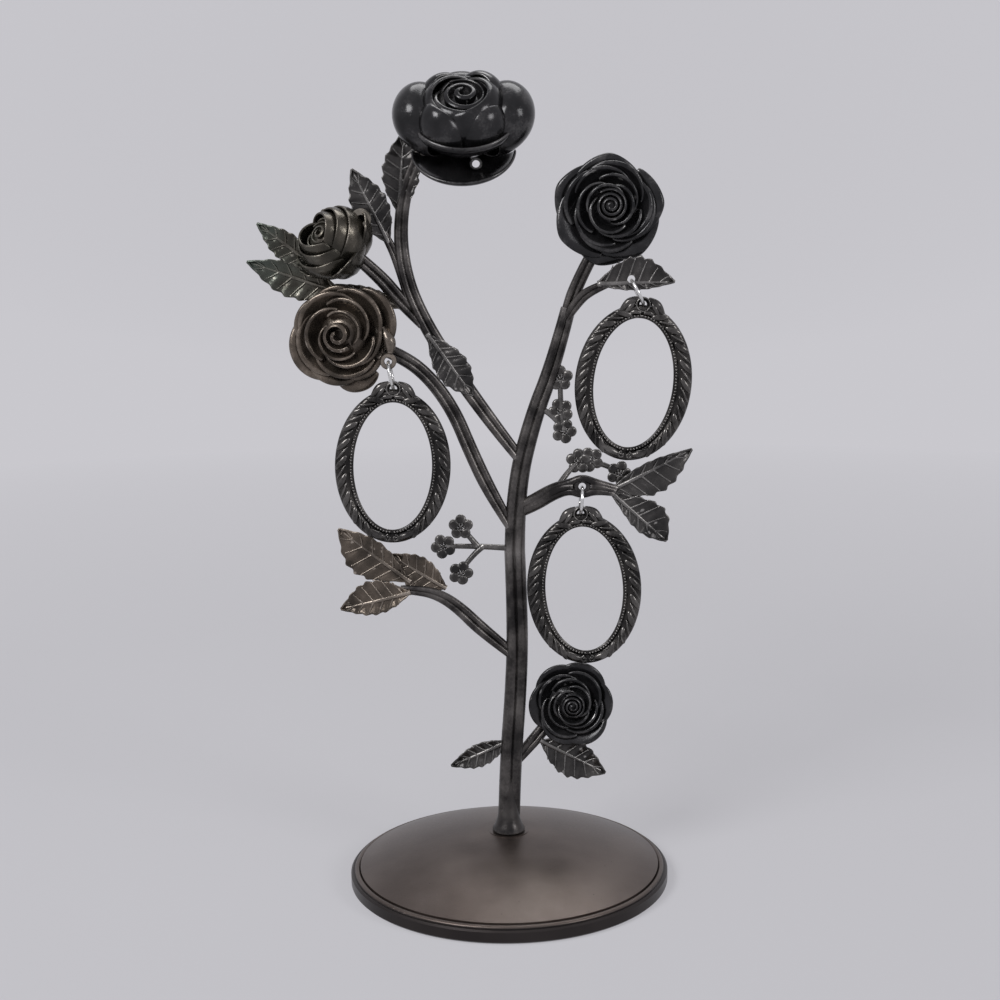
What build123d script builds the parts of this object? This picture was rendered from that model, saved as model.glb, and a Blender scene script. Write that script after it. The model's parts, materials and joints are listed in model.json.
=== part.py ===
from build123d import *
import math
import os

os.makedirs("parts", exist_ok=True)

# Driving dimensions, in millimetres and degrees. +X is right and -Y is the front.
# The origin is the centre of the foot, on the surface that it stands on.
tree_height = 244.0
relief_depth = 8.0

# Foot
base_radius = 49.1
base_height = 15.2
base_wall = 1.4
rim_gap = 0.5
rim_height = 4.4
rim_wall = 2.0
rim_chamfer = 0.5
bead_ring_radius = 0.9
dome_inset = 2.9
dome_step = 1.2
pad_thickness = 2.0
pad_clearance = 0.1
pad_ledge = 2.1
hub_radius = 6.0
hub_drop = 1.6

# Screw and washer under the dome
screw_radius = 2.0
screw_grip = 8.0
screw_head_radius = 3.6
screw_head_height = 2.2
drive_slot_width = 0.9
drive_slot_depth = 1.1
washer_radius = 4.6
washer_thickness = 0.8
screw_hole_clearance = 0.3
thread_clearance = 0.05

# Trunk and stems
foot_flare_radius = 5.0
foot_flare_height = 5.0
trunk_radius = 2.9
upper_trunk_radius = 2.5
rose_stem_radius = 1.9
stem_radius = 1.5
stalk_radius = 0.9
branch_radius = 1.6
corner_share = 0.45

# Blooms
rose_left_radius = 15.0
rose_right_radius = 15.6
rose_top_radius = 15.4
rose_low_radius = 12.6
petal_thickness = 1.5
bud_radius = 9.8
bud_lip_radius = 1.5
bud_back = 6.0
blossom_ring_radius = 2.1
blossom_petal_radius = 1.65
blossom_thickness = 1.8
blossom_bead_radius = 0.95

# Leaves
leaf_thickness = 1.3
midrib_radius = 0.75
hanging_leaf_thickness = 1.2

# Hanging holes and jump rings
hole_radius = 1.1
ear_radius = 3.0
ear_thickness = 1.2
ear_overlap = 0.8
branch_ear_length = 15.0
ring_radius = 3.85
ring_wire_radius = 0.5
seat_gap = 0.37
ring_room_angle = 42.0
ring_room_margin = 0.5

# Oval frames
frame_half_width = 17.1
frame_half_height = 22.9
opening_half_width = 11.5
opening_half_height = 18.85
frame_thickness = 3.4
frame_front_round = 1.3
frame_back_round = 0.6
bead_row_width = 1.4
bead_row_depth = 1.0
rabbet_width = 1.3
rabbet_depth = 1.4
lip_width = 0.7
lip_thickness = 0.4
lip_length = 3.0
crown_radius = 4.9
crown_thickness = 3.0
crown_margin = 2.2
crown_pocket_radius = 2.0
crown_web = 1.2
rosette_radius = 1.9
rosette_height = 0.5
rosette_inset = 1.9

# One overrun serves every cut
overrun = 1.0

# Places: x and z are shares of tree_height, y is a share of relief_depth
trunk_lower_shares = [
    (0.000, 0.00, 0.070),
    (0.003, 0.00, 0.150),
    (0.011, 0.00, 0.240),
    (0.015, 0.00, 0.330),
    (0.012, 0.00, 0.420),
]
trunk_upper_shares = [
    (0.012, 0.00, 0.412),
    (0.013, 0.00, 0.500),
    (0.036, 0.00, 0.590),
    (0.062, 0.00, 0.655),
    (0.078, 0.00, 0.715),
]
stem_shares = {
    "stem_left_rose": [
        (0.008, 0.00, 0.455),
        (-0.018, 0.00, 0.500),
        (-0.041, 0.00, 0.552),
        (-0.060, 0.00, 0.600),
        (-0.088, -0.25, 0.642),
        (-0.120, -0.55, 0.669),
        (-0.150, -0.60, 0.682),
    ],
    "stem_top_rose": [
        (0.020, 0.00, 0.540),
        (-0.030, 0.00, 0.605),
        (-0.098, 0.00, 0.712),
        (-0.120, 0.00, 0.780),
        (-0.118, 0.00, 0.850),
        (-0.095, -0.12, 0.908),
        (-0.078, -0.20, 0.932),
    ],
    "stem_bud": [
        (-0.100, 0.00, 0.712),
        (-0.127, 0.00, 0.740),
        (-0.146, -0.12, 0.764),
        (-0.172, -0.30, 0.786),
    ],
    "stem_leaf_high": [
        (-0.112, 0.00, 0.735),
        (-0.119, 0.00, 0.766),
        (-0.130, 0.00, 0.797),
        (-0.140, 0.00, 0.815),
    ],
    "stem_right_rose": [
        (0.075, 0.00, 0.700),
        (0.082, 0.00, 0.728),
        (0.092, -0.12, 0.753),
        (0.108, -0.25, 0.785),
        (0.124, -0.30, 0.812),
    ],
    "stem_right_leaf": [
        (0.078, 0.00, 0.712),
        (0.091, -0.25, 0.732),
        (0.108, -0.62, 0.745),
        (0.121, -0.95, 0.751),
    ],
    "branch_left": [
        (0.012, 0.00, 0.295),
        (-0.030, 0.00, 0.325),
        (-0.057, 0.00, 0.353),
        (-0.081, 0.00, 0.370),
        (-0.106, 0.00, 0.377),
        (-0.128, 0.00, 0.378),
    ],
    "branch_right": [
        (0.012, 0.00, 0.480),
        (0.036, -0.12, 0.486),
        (0.062, -0.55, 0.505),
        (0.082, -0.90, 0.520),
        (0.108, -1.00, 0.522),
        (0.132, -0.85, 0.509),
    ],
    "stem_low_rose": [
        (0.002, 0.00, 0.150),
        (0.030, 0.45, 0.172),
        (0.056, 0.75, 0.200),
        (0.078, 0.75, 0.222),
    ],
}
stem_radii = {
    "stem_left_rose": rose_stem_radius,
    "stem_top_rose": rose_stem_radius,
    "stem_bud": rose_stem_radius,
    "stem_leaf_high": stem_radius,
    "stem_right_rose": rose_stem_radius,
    "stem_right_leaf": stem_radius,
    "branch_left": rose_stem_radius,
    "branch_right": branch_radius,
    "stem_low_rose": rose_stem_radius,
}

# Roses: centre places, radii, how far the faces turn up, and where the first petal starts
rose_place_shares = {
    "rose_left": (-0.193, -0.70, 0.699),
    "rose_right": (0.132, -0.50, 0.840),
    "rose_top": (-0.042, -0.50, 0.933),
    "rose_low": (0.081, 0.30, 0.225),
}
rose_radii = {
    "rose_left": rose_left_radius,
    "rose_right": rose_right_radius,
    "rose_top": rose_top_radius,
    "rose_low": rose_low_radius,
}
rose_faces_up = {"rose_left": 0, "rose_right": 0, "rose_top": 46, "rose_low": 8}
rose_starts = {"rose_left": 12, "rose_right": 40, "rose_low": 30}

# Petal rings: count, then distance, petal radius and height as shares of the bloom, then tilt
petal_ring_shares = [
    (5, 0.47, 0.53, 0.00, 10),
    (5, 0.30, 0.40, 0.15, 24),
    (3, 0.15, 0.29, 0.29, 36),
]
petal_ring_step = 36
calyx_top_share = 0.55
calyx_bottom_share = 0.25
calyx_depth_share = 0.30
heart_share = 0.20
heart_height_share = 0.36

# The top rose is a deep cup: its profile as radius and height, as shares of the bloom
cup_profile_shares = [
    (0.00, -0.45), (0.45, -0.38), (0.74, -0.16), (0.88, 0.10), (0.89, 0.34), (0.84, 0.54),
    (0.76, 0.72), (0.62, 0.84), (0.52, 0.84), (0.50, 0.74), (0.32, 0.74), (0.28, 0.86), (0.00, 0.86),
]
# Its outer petals: angle, then distance, radius and height as shares of the bloom, then tilt
cup_petal_shares = [
    (0, 1.00, 0.44, 0.12, 50),
    (90, 0.78, 0.42, -0.05, 30),
    (180, 1.00, 0.44, 0.12, 50),
    (270, 0.74, 0.50, -0.40, -2),
]

bud_place_shares = (-0.198, -0.50, 0.804)
bud_face_up = 35
bud_face_left = 40
bud_lip_share = 0.62
bud_lip_height_share = 0.70
bud_sepal_shares = (0.80, 0.42, 0.10)
bud_sepal_tilt = 30
ear_reach_share = 0.6

# Leaves: base place, tip place, then left and right half widths as shares of the leaf length
leaf_shares = {
    "leaf_top": ((-0.121, 0.00, 0.838), (-0.112, -0.12, 0.934), 0.26, 0.25),
    "leaf_high_left": ((-0.134, 0.00, 0.803), (-0.176, 0.00, 0.890), 0.25, 0.25),
    "leaf_bud_upper": ((-0.219, -0.12, 0.774), (-0.290, 0.00, 0.828), 0.22, 0.19),
    "leaf_bud_lower": ((-0.190, 0.05, 0.743), (-0.305, 0.05, 0.783), 0.22, 0.17),
    "leaf_bud_sheath": ((-0.120, 0.05, 0.726), (-0.200, 0.05, 0.754), 0.14, 0.14),
    "leaf_middle": ((-0.090, -0.12, 0.694), (-0.036, -0.12, 0.618), 0.24, 0.24),
    "leaf_right_high": ((0.113, -1.00, 0.752), (0.205, -1.00, 0.753), 0.34, 0.15),
    "leaf_right_upper": ((0.128, -0.38, 0.500), (0.229, -0.38, 0.551), 0.11, 0.28),
    "leaf_right_lower": ((0.124, -0.50, 0.505), (0.198, -0.50, 0.438), 0.29, 0.10),
    "leaf_left_upper": ((-0.118, 0.00, 0.388), (-0.205, 0.00, 0.456), 0.31, 0.18),
    "leaf_left_lower": ((-0.118, -0.10, 0.375), (-0.205, -0.10, 0.355), 0.20, 0.33),
    "leaf_left_inner": ((-0.074, 0.15, 0.378), (-0.143, 0.15, 0.422), 0.28, 0.27),
    "leaf_low_right": ((0.042, 0.25, 0.178), (0.124, 0.12, 0.134), 0.27, 0.30),
    "leaf_low_left": ((0.000, 0.00, 0.180), (-0.072, 0.00, 0.149), 0.22, 0.20),
}
leaf_teeth = 7
leaf_tooth_share = 0.12
leaf_tooth_step_share = 0.02
leaf_belly_share = 0.85
leaf_root_share = 0.04
midrib_length_share = 0.86

# Blossom sprays: flower places and stalk routes
spray_shares = {
    "blossom_spray_left": {
        "flowers": [(-0.054, 0.00, 0.456), (-0.076, 0.00, 0.432), (-0.055, -0.12, 0.399)],
        "stalks": [
            [(0.012, 0.00, 0.428), (-0.030, 0.00, 0.432), (-0.072, 0.00, 0.432)],
            [(-0.034, 0.00, 0.432), (-0.052, 0.00, 0.454)],
            [(-0.026, 0.00, 0.432), (-0.054, -0.05, 0.401)],
        ],
    },
    "blossom_spray_high": {
        "flowers": [(0.070, 0.00, 0.638), (0.070, 0.00, 0.598), (0.074, 0.00, 0.573)],
        "stalks": [
            [(0.040, 0.00, 0.604), (0.058, 0.00, 0.598), (0.073, 0.00, 0.575)],
            [(0.074, 0.00, 0.575), (0.069, 0.00, 0.602), (0.070, 0.00, 0.638)],
        ],
    },
    "blossom_spray_right": {
        "flowers": [(0.091, -0.25, 0.537), (0.106, -0.25, 0.539), (0.140, -0.25, 0.522)],
        "stalks": [
            [(0.066, -0.62, 0.509), (0.078, -0.30, 0.526), (0.091, -0.22, 0.536)],
            [(0.091, -0.22, 0.538), (0.122, -0.22, 0.536), (0.140, -0.22, 0.522)],
        ],
    },
}
blossom_petals = 5

# Hanging holes, then the lean of the ring and of the frame to the right
hole_shares = {
    "left": (-0.136, -1.00, 0.664),
    "right": (0.153, -1.00, 0.757),
    "low": (0.094, -1.00, 0.510),
    "rose_top": (-0.028, -0.80, 0.893),
    "rose_bud": (-0.165, -0.62, 0.831),
}
ring_leans = {"left": 10, "right": 27, "low": -4}
frame_leans = {"left": -2, "right": -7, "low": 2.5}


def place(shares):
    """A place in the part's frame from its row in a table of shares."""
    return Vector(shares[0] * tree_height, shares[1] * relief_depth, shares[2] * tree_height)


def largest(shape):
    """The biggest solid of a shape, as a trimmed piece is one casting."""
    return max(shape.solids(), key=lambda solid: solid.volume)


def boxes_meet(first, second):
    """Whether the bounding boxes of two shapes overlap."""
    a = first.bounding_box()
    b = second.bounding_box()
    apart_x = a.min.X > b.max.X or b.min.X > a.max.X
    apart_y = a.min.Y > b.max.Y or b.min.Y > a.max.Y
    apart_z = a.min.Z > b.max.Z or b.min.Z > a.max.Z
    return not (apart_x or apart_y or apart_z)


def trimmed(shape, others):
    """The shape with its neighbours cut away, so that they meet face to face."""
    for other in others:
        if boxes_meet(shape, other):
            shape = shape - other
    return largest(shape)


def corner_radii(points):
    """Arc radii for a route, as large as the two runs at each corner allow."""
    radii = []
    for before, corner, after in zip(points, points[1:], points[2:]):
        inward = corner - before
        outward = after - corner
        half_turn = math.radians(inward.get_angle(outward)) / 2
        radii.append(corner_share * min(inward.length, outward.length) / math.tan(half_turn))
    return radii


def tube(points, radius):
    """A round rod along a route of straight runs and tangent arcs, with round ends."""
    if len(points) == 2:
        path = Line(*points)
    else:
        path = FilletPolyline(*points, radius=corner_radii(points))
    section = Plane(origin=path @ 0, z_dir=path % 0) * Circle(radius)
    rod = sweep(section, path=path)
    for end in (points[0], points[-1]):
        rod += Pos(end.X, end.Y, end.Z) * Sphere(radius)
    return rod


def facing(origin, x_dir, up=0, left=0):
    """A plane that faces the front, turned up and to the left by the given angles."""
    rise = math.radians(up)
    turn = math.radians(left)
    normal = Vector(-math.sin(turn) * math.cos(rise), -math.cos(turn) * math.cos(rise), math.sin(rise))
    return Plane(origin=origin, x_dir=x_dir - normal * x_dir.dot(normal), z_dir=normal)


def down(lean):
    """The downward direction of something that hangs with the given lean to the right."""
    angle = math.radians(lean)
    return Vector(math.sin(angle), 0, -math.cos(angle))


def base_dome():
    """The domed foot: rim band, bead ring, dome and hub, hollow underneath."""
    dome_radius = base_radius - dome_inset
    dome_foot = rim_height + dome_step
    dome_rise = base_height - dome_foot
    cap_radius = (dome_radius ** 2 + dome_rise ** 2) / (2 * dome_rise)
    half = dome_radius / 2
    half_height = base_height - cap_radius + math.sqrt(cap_radius ** 2 - half ** 2)
    inner_radius = dome_radius - base_wall
    inner_foot = dome_foot - base_wall
    outer = Polyline(
        (0, base_height),
        (0, rim_gap),
        (base_radius - rim_chamfer, rim_gap),
        (base_radius, rim_gap + rim_chamfer),
        (base_radius, rim_height - rim_chamfer),
        (base_radius - rim_chamfer, rim_height),
        (dome_radius, rim_height),
        (dome_radius, dome_foot),
    )
    dome_line = ThreePointArc((dome_radius, dome_foot), (half, half_height), (0, base_height))
    shell = revolve(Plane.XZ * make_face(outer + dome_line), Axis.Z)
    shell += Pos(0, 0, rim_height) * Torus(dome_radius + bead_ring_radius, bead_ring_radius)
    inner_line = Polyline((0, base_height - base_wall), (0, inner_foot), (inner_radius, inner_foot))
    inner_arc = ThreePointArc(
        (inner_radius, inner_foot), (half, half_height - base_wall), (0, base_height - base_wall)
    )
    hollow = revolve(Plane.XZ * make_face(inner_line + inner_arc), Axis.Z)
    shaft_radius = base_radius - rim_wall - pad_ledge
    hollow += Pos(0, 0, inner_foot / 2) * Cylinder(shaft_radius, inner_foot)
    shell -= hollow
    shell -= Pos(0, 0, pad_thickness / 2) * Cylinder(base_radius - rim_wall, pad_thickness)
    hub_bottom = base_height - base_wall - hub_drop
    hub = Pos(0, 0, (hub_bottom + base_height) / 2) * Cylinder(hub_radius, base_height - hub_bottom)
    seat = Pos(0, 0, base_height + overrun) * Cylinder(hub_radius, 2 * overrun)
    shell = shell + hub - seat
    shell -= Cylinder(screw_radius + screw_hole_clearance, 2 * base_height + overrun)
    return largest(shell)


def base_pad():
    """The pad that closes the underside and rests on the surface."""
    radius = base_radius - rim_wall - pad_clearance
    return Pos(0, 0, pad_thickness / 2) * Cylinder(radius, pad_thickness)


def washer_top():
    """The height of the hub face that the washer bears on."""
    return base_height - base_wall - hub_drop


def base_washer():
    """The washer between the screw head and the hub."""
    ring = Cylinder(washer_radius, washer_thickness)
    ring -= Cylinder(screw_radius + screw_hole_clearance, washer_thickness + overrun)
    return Pos(0, 0, washer_top() - washer_thickness / 2) * ring


def base_screw():
    """The slotted screw that holds the trunk to the foot."""
    head_top = washer_top() - washer_thickness
    shank_length = base_height + screw_grip - head_top
    head = Pos(0, 0, head_top - screw_head_height / 2) * Cylinder(screw_head_radius, screw_head_height)
    shank = Pos(0, 0, head_top + shank_length / 2) * Cylinder(screw_radius, shank_length)
    slot = Box(2 * screw_head_radius + overrun, drive_slot_width, 2 * drive_slot_depth)
    return head + shank - Pos(0, 0, head_top - screw_head_height) * slot


def trunk_lower():
    """The lower trunk with its flared foot and the bore for the screw."""
    trunk = tube([place(row) for row in trunk_lower_shares], trunk_radius)
    flare = Pos(0, 0, base_height + foot_flare_height / 2) * Cone(
        foot_flare_radius, trunk_radius, foot_flare_height
    )
    trunk += flare
    below = Pos(0, 0, base_height / 2) * Cylinder(hub_radius, base_height)
    bore_length = screw_grip + overrun
    bore = Pos(0, 0, base_height + bore_length / 2) * Cylinder(
        screw_radius + thread_clearance, bore_length
    )
    return largest(trunk - below - bore)


def petal(radius, angle, distance_share, petal_share, height_share, tilt):
    """One round petal that tilts up towards its outer edge."""
    disc = Cylinder(petal_share * radius, petal_thickness)
    return Rot(0, 0, angle) * Pos(distance_share * radius, 0, height_share * radius) * Rot(0, -tilt, 0) * disc


def petal_ring(radius, row, start):
    """One ring of overlapping petals."""
    count, *shares = row
    return [petal(radius, start + index * 360 / count, *shares) for index in range(count)]


def rose(radius, start):
    """An open rose that faces +Z: calyx, three rings of petals and a heart."""
    calyx_depth = calyx_depth_share * radius
    calyx = Pos(0, 0, -calyx_depth / 2) * Cone(
        calyx_bottom_share * radius, calyx_top_share * radius, calyx_depth
    )
    heart_height = heart_height_share * radius
    pieces = [
        Pos(0, 0, heart_height / 2) * Cylinder(heart_share * radius, heart_height),
        Pos(0, 0, heart_height) * Sphere(heart_share * radius),
    ]
    for step, row in enumerate(petal_ring_shares):
        pieces += petal_ring(radius, row, start + step * petal_ring_step)
    return calyx.fuse(*pieces)


def placed_rose(name):
    """A rose at its place on the tree."""
    plane = facing(place(rose_place_shares[name]), Vector(1, 0, 0), up=rose_faces_up[name])
    return plane * rose(rose_radii[name], rose_starts[name])


def ear(hole, root):
    """The thin plate that reaches from its root to a hanging hole, before drilling."""
    reach = Vector(root.X - hole.X, 0, root.Z - hole.Z)
    front = Plane(origin=hole, x_dir=reach, z_dir=(0, -1, 0))
    length = ear_reach_share * reach.length
    bar = Pos(length / 2, 0, 0) * Box(length, 2 * ear_radius, ear_thickness)
    return front * (Cylinder(ear_radius, ear_thickness) + bar)


def drilled(shape, hole, reach=ear_thickness + overrun):
    """The shape with a hanging hole drilled through it from front to back."""
    drill = Cylinder(hole_radius, 2 * reach)
    return shape - Plane(origin=hole, z_dir=(0, -1, 0)) * drill


def hole_room(hole):
    """The clear space in front of and behind an ear."""
    length = 2 * (ring_radius + ring_wire_radius)
    return Plane(origin=hole, z_dir=(0, -1, 0)) * Cylinder(ear_radius - ear_overlap, length)


def ring_room(hole):
    """The space that a hanging ring sweeps as it swings from side to side."""
    reach = 2 * (ring_radius + ring_wire_radius) + ring_room_margin
    half = ring_wire_radius + ring_room_margin
    side = reach * math.sin(math.radians(ring_room_angle))
    drop = reach * math.cos(math.radians(ring_room_angle))
    depth = ring_radius + ring_wire_radius + ring_room_margin
    fan = make_face(Polyline((-half, 0), (half, 0), (side, -drop), (0, -reach), (-side, -drop), close=True))
    front = Plane(origin=hole, x_dir=(1, 0, 0), z_dir=(0, -1, 0))
    return front * extrude(fan, amount=depth, both=True)


def rose_left():
    """The left rose, with the hole that carries the left frame."""
    hole = place(hole_shares["left"])
    plate = ear(hole, place(rose_place_shares["rose_left"]))
    bloom = placed_rose("rose_left") - ring_room(hole) - hole_room(hole) + plate
    return largest(drilled(bloom, hole))


def cup_rose(radius):
    """A deep cupped rose that faces +Z: a rolled cup in four outer petals."""
    profile = Polyline(*[(share * radius, height * radius) for share, height in cup_profile_shares], close=True)
    cup = revolve(Plane.XZ * make_face(profile), Axis.Z)
    return cup.fuse(*[petal(radius, *row) for row in cup_petal_shares])


def rose_top():
    """The top rose, with an empty hanging hole in its lower petal."""
    hole = place(hole_shares["rose_top"])
    centre = place(rose_place_shares["rose_top"])
    front = facing(centre, Vector(1, 0, 0), up=rose_faces_up["rose_top"])
    bloom = front * cup_rose(rose_radii["rose_top"]) - hole_room(hole) + ear(hole, centre)
    return largest(drilled(bloom, hole, rose_radii["rose_top"]))


def rose_bud():
    """The half-open bud, with a sepal and an ear with an empty hanging hole."""
    centre = place(bud_place_shares)
    face = facing(centre, Vector(1, 0, 0), up=bud_face_up, left=bud_face_left)
    lip = Pos(0, 0, bud_lip_height_share * bud_radius) * Torus(bud_lip_share * bud_radius, bud_lip_radius)
    bud = face * (Sphere(bud_radius) + lip)
    sepal_distance, sepal_size, sepal_height = [share * bud_radius for share in bud_sepal_shares]
    disc = Pos(sepal_distance, 0, sepal_height) * Rot(0, bud_sepal_tilt, 0) * Cylinder(
        sepal_size, petal_thickness
    )
    bud += facing(centre, Vector(1, 0, 0)) * disc
    back = Box(4 * bud_radius, 2 * bud_radius, 4 * bud_radius)
    bud -= Pos(centre.X, centre.Y + bud_back + bud_radius, centre.Z) * back
    hole = place(hole_shares["rose_bud"])
    bud = bud - hole_room(hole) + ear(hole, centre)
    return largest(drilled(bud, hole))


def leaf_half_width(share):
    """The half width of a leaf at a share of its length, as a share of the widest."""
    return math.sin(math.pi * share ** leaf_belly_share)


def leaf_side(length, half_width):
    """The saw-toothed points along one edge of a leaf, from root to tip."""
    points = []
    for tooth in range(1, leaf_teeth + 1):
        share = tooth / (leaf_teeth + 1)
        width = half_width * leaf_half_width(share)
        points.append((share * length, width))
        points.append(((share + leaf_tooth_step_share) * length, width * (1 - leaf_tooth_share)))
    return points


def leaf(name, thickness=leaf_thickness, rib_room=None):
    """A toothed leaf with a raised midrib, from its root to its tip."""
    base_row, tip_row, left_share, right_share = leaf_shares[name]
    base = place(base_row)
    along = place(tip_row) - base
    length = along.length
    root = leaf_root_share * length
    left = leaf_side(length, left_share * length)
    right = [(x, -y) for x, y in leaf_side(length, right_share * length)]
    outline = [(0, root), *left, (length, 0), *reversed(right), (0, -root)]
    blade = extrude(make_face(Polyline(*outline, close=True)), amount=thickness / 2, both=True)
    rib_length = midrib_length_share * length
    rib = Pos(rib_length / 2, 0, thickness / 2) * Rot(0, 90, 0) * Cylinder(midrib_radius, rib_length)
    plane = facing(base, along)
    rib = plane * rib
    if rib_room is not None:
        rib -= rib_room
    return plane * blade + rib


def leaf_right_high():
    """The leaf that carries the right frame."""
    hole = place(hole_shares["right"])
    room = ring_room(hole) + hole_room(hole)
    return drilled(leaf("leaf_right_high", hanging_leaf_thickness, room), hole)


def branch_right(points):
    """The right branch, with the flat ear that carries the low frame."""
    hole = place(hole_shares["low"])
    front = Plane(origin=hole, x_dir=(1, 0, 0), z_dir=(0, -1, 0))
    plate = SlotOverall(branch_ear_length, 2 * ear_radius)
    branch = tube(points, branch_radius) + front * extrude(plate, amount=ear_thickness / 2, both=True)
    return drilled(branch, hole)


def blossom(centre):
    """A small flower with five round petals and a bead, facing the front."""
    flower = Cylinder(blossom_ring_radius, blossom_thickness)
    for index in range(blossom_petals):
        petal = Pos(blossom_ring_radius, 0, 0) * Cylinder(blossom_petal_radius, blossom_thickness)
        flower += Rot(0, 0, 90 + index * 360 / blossom_petals) * petal
    flower += Pos(0, 0, blossom_thickness / 2) * Sphere(blossom_bead_radius)
    return facing(centre, Vector(1, 0, 0)) * flower


def blossom_spray(name):
    """A spray of blossoms on thin stalks, as one casting."""
    rows = spray_shares[name]
    spray = None
    for route in rows["stalks"]:
        stalk = tube([place(row) for row in route], stalk_radius)
        spray = stalk if spray is None else spray + stalk
    for row in rows["flowers"]:
        spray += blossom(place(row))
    return spray


def ring_pivot(side):
    """The centre of the ring wire where it rests in its hanging hole."""
    return place(hole_shares[side]) - Vector(0, 0, hole_radius - ring_wire_radius - seat_gap)


def ring_centre(side):
    """The centre of a jump ring."""
    return ring_pivot(side) + down(ring_leans[side]) * ring_radius


def frame_centre(side):
    """The centre of an oval frame that hangs from its ring."""
    wire = ring_pivot(side) + down(ring_leans[side]) * 2 * ring_radius
    drop = hole_radius - ring_wire_radius - seat_gap + frame_half_height
    return wire + down(frame_leans[side]) * drop


def jump_ring(side):
    """A round wire ring through the hanging hole and the crown of the frame."""
    lean = math.radians(ring_leans[side])
    axis = Vector(math.cos(lean), 0, math.sin(lean))
    return Plane(origin=ring_centre(side), z_dir=axis) * Torus(ring_radius, ring_wire_radius)


def oval(half_width, half_height, low, high):
    """A flat oval block between two heights."""
    return Pos(0, 0, low) * extrude(Ellipse(half_width, half_height), amount=high - low)


def retaining_lips():
    """Four small lips at the back of the rabbet, which hold a picture in."""
    back = -frame_thickness / 2
    wide = opening_half_width + rabbet_width
    high = opening_half_height + rabbet_width
    rim = oval(wide + lip_width, high + lip_width, back, back + lip_thickness)
    rim -= oval(wide - lip_width, high - lip_width, back - overrun, back + lip_thickness + overrun)
    slope = math.atan2(high, wide)
    bars = None
    for angle in (slope, math.pi - slope):
        bar = Rot(0, 0, math.degrees(angle)) * Box(4 * high, lip_length, frame_thickness)
        bars = bar if bars is None else bars + bar
    return rim & bars


def oval_frame():
    """An open oval frame that faces +Z, with a crown at +Y and a rabbet behind."""
    front = frame_thickness / 2
    band = oval(frame_half_width, frame_half_height, -front, front)
    rims = band.edges().filter_by(GeomType.ELLIPSE)
    band = fillet(rims.sort_by(Axis.Z)[-1], frame_front_round)
    rims = band.edges().filter_by(GeomType.ELLIPSE)
    band = fillet(rims.sort_by(Axis.Z)[0], frame_back_round)
    crown_top = frame_half_height + crown_margin
    band += Pos(0, crown_top - crown_radius, 0) * Cylinder(crown_radius, crown_thickness)
    rosette_place = Pos(0, rosette_inset - frame_half_height, (front + rosette_height) / 2)
    band += rosette_place * Cylinder(rosette_radius, front + rosette_height)
    bead_wide = opening_half_width + bead_row_width
    bead_high = opening_half_height + bead_row_width
    band -= oval(bead_wide, bead_high, front - bead_row_depth, front + rosette_height + overrun)
    band -= oval(opening_half_width, opening_half_height, -front - overrun, front + overrun)
    rabbet_wide = opening_half_width + rabbet_width
    rabbet_high = opening_half_height + rabbet_width
    band -= oval(rabbet_wide, rabbet_high, -front - overrun, -front + rabbet_depth)
    band += retaining_lips()
    hole = Pos(0, frame_half_height, 0)
    pocket_height = (frame_thickness - crown_web) / 2 + overrun
    for side in (-1, 1):
        middle = side * (crown_web + pocket_height) / 2
        band -= hole * Pos(0, 0, middle) * Cylinder(crown_pocket_radius, pocket_height)
    band -= hole * Cylinder(hole_radius, frame_thickness + 2 * overrun)
    return largest(band)


def hung_frame(side):
    """An oval frame at its place under its ring."""
    lean = math.radians(frame_leans[side])
    across = Vector(math.cos(lean), 0, math.sin(lean))
    return Plane(origin=frame_centre(side), x_dir=across, z_dir=(0, -1, 0)) * oval_frame()


# The fixed pieces, in the order in which each one is trimmed by those before it
fixed = {
    "base_dome": base_dome(),
    "base_pad": base_pad(),
    "base_washer": base_washer(),
    "base_screw": base_screw(),
}
tree = {"trunk_lower": trunk_lower()}
tree["rose_left"] = trimmed(rose_left(), tree.values())
tree["rose_top"] = trimmed(rose_top(), tree.values())
for name in ("rose_right", "rose_low"):
    tree[name] = trimmed(placed_rose(name), tree.values())
tree["rose_bud"] = trimmed(rose_bud(), tree.values())
upper_points = [place(row) for row in trunk_upper_shares]
tree["trunk_upper"] = trimmed(tube(upper_points, upper_trunk_radius), tree.values())
for name, rows in stem_shares.items():
    points = [place(row) for row in rows]
    stem = branch_right(points) if name == "branch_right" else tube(points, stem_radii[name])
    tree[name] = trimmed(stem, tree.values())
tree["leaf_right_high"] = trimmed(leaf_right_high(), tree.values())
for name in leaf_shares:
    if name not in tree:
        tree[name] = trimmed(leaf(name), tree.values())
for name in spray_shares:
    tree[name] = trimmed(blossom_spray(name), tree.values())

hanging = {}
for side in ("left", "right", "low"):
    hanging["jump_ring_" + side] = jump_ring(side)
    hanging["frame_" + side] = hung_frame(side)

for group in (fixed, tree, hanging):
    for name, shape in group.items():
        export_step(shape, "parts/" + name + ".step")
        print(name, round(shape.volume, 1))
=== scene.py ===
import json
import math
import random

import bmesh
import bpy
from mathutils import Matrix, Vector


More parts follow.
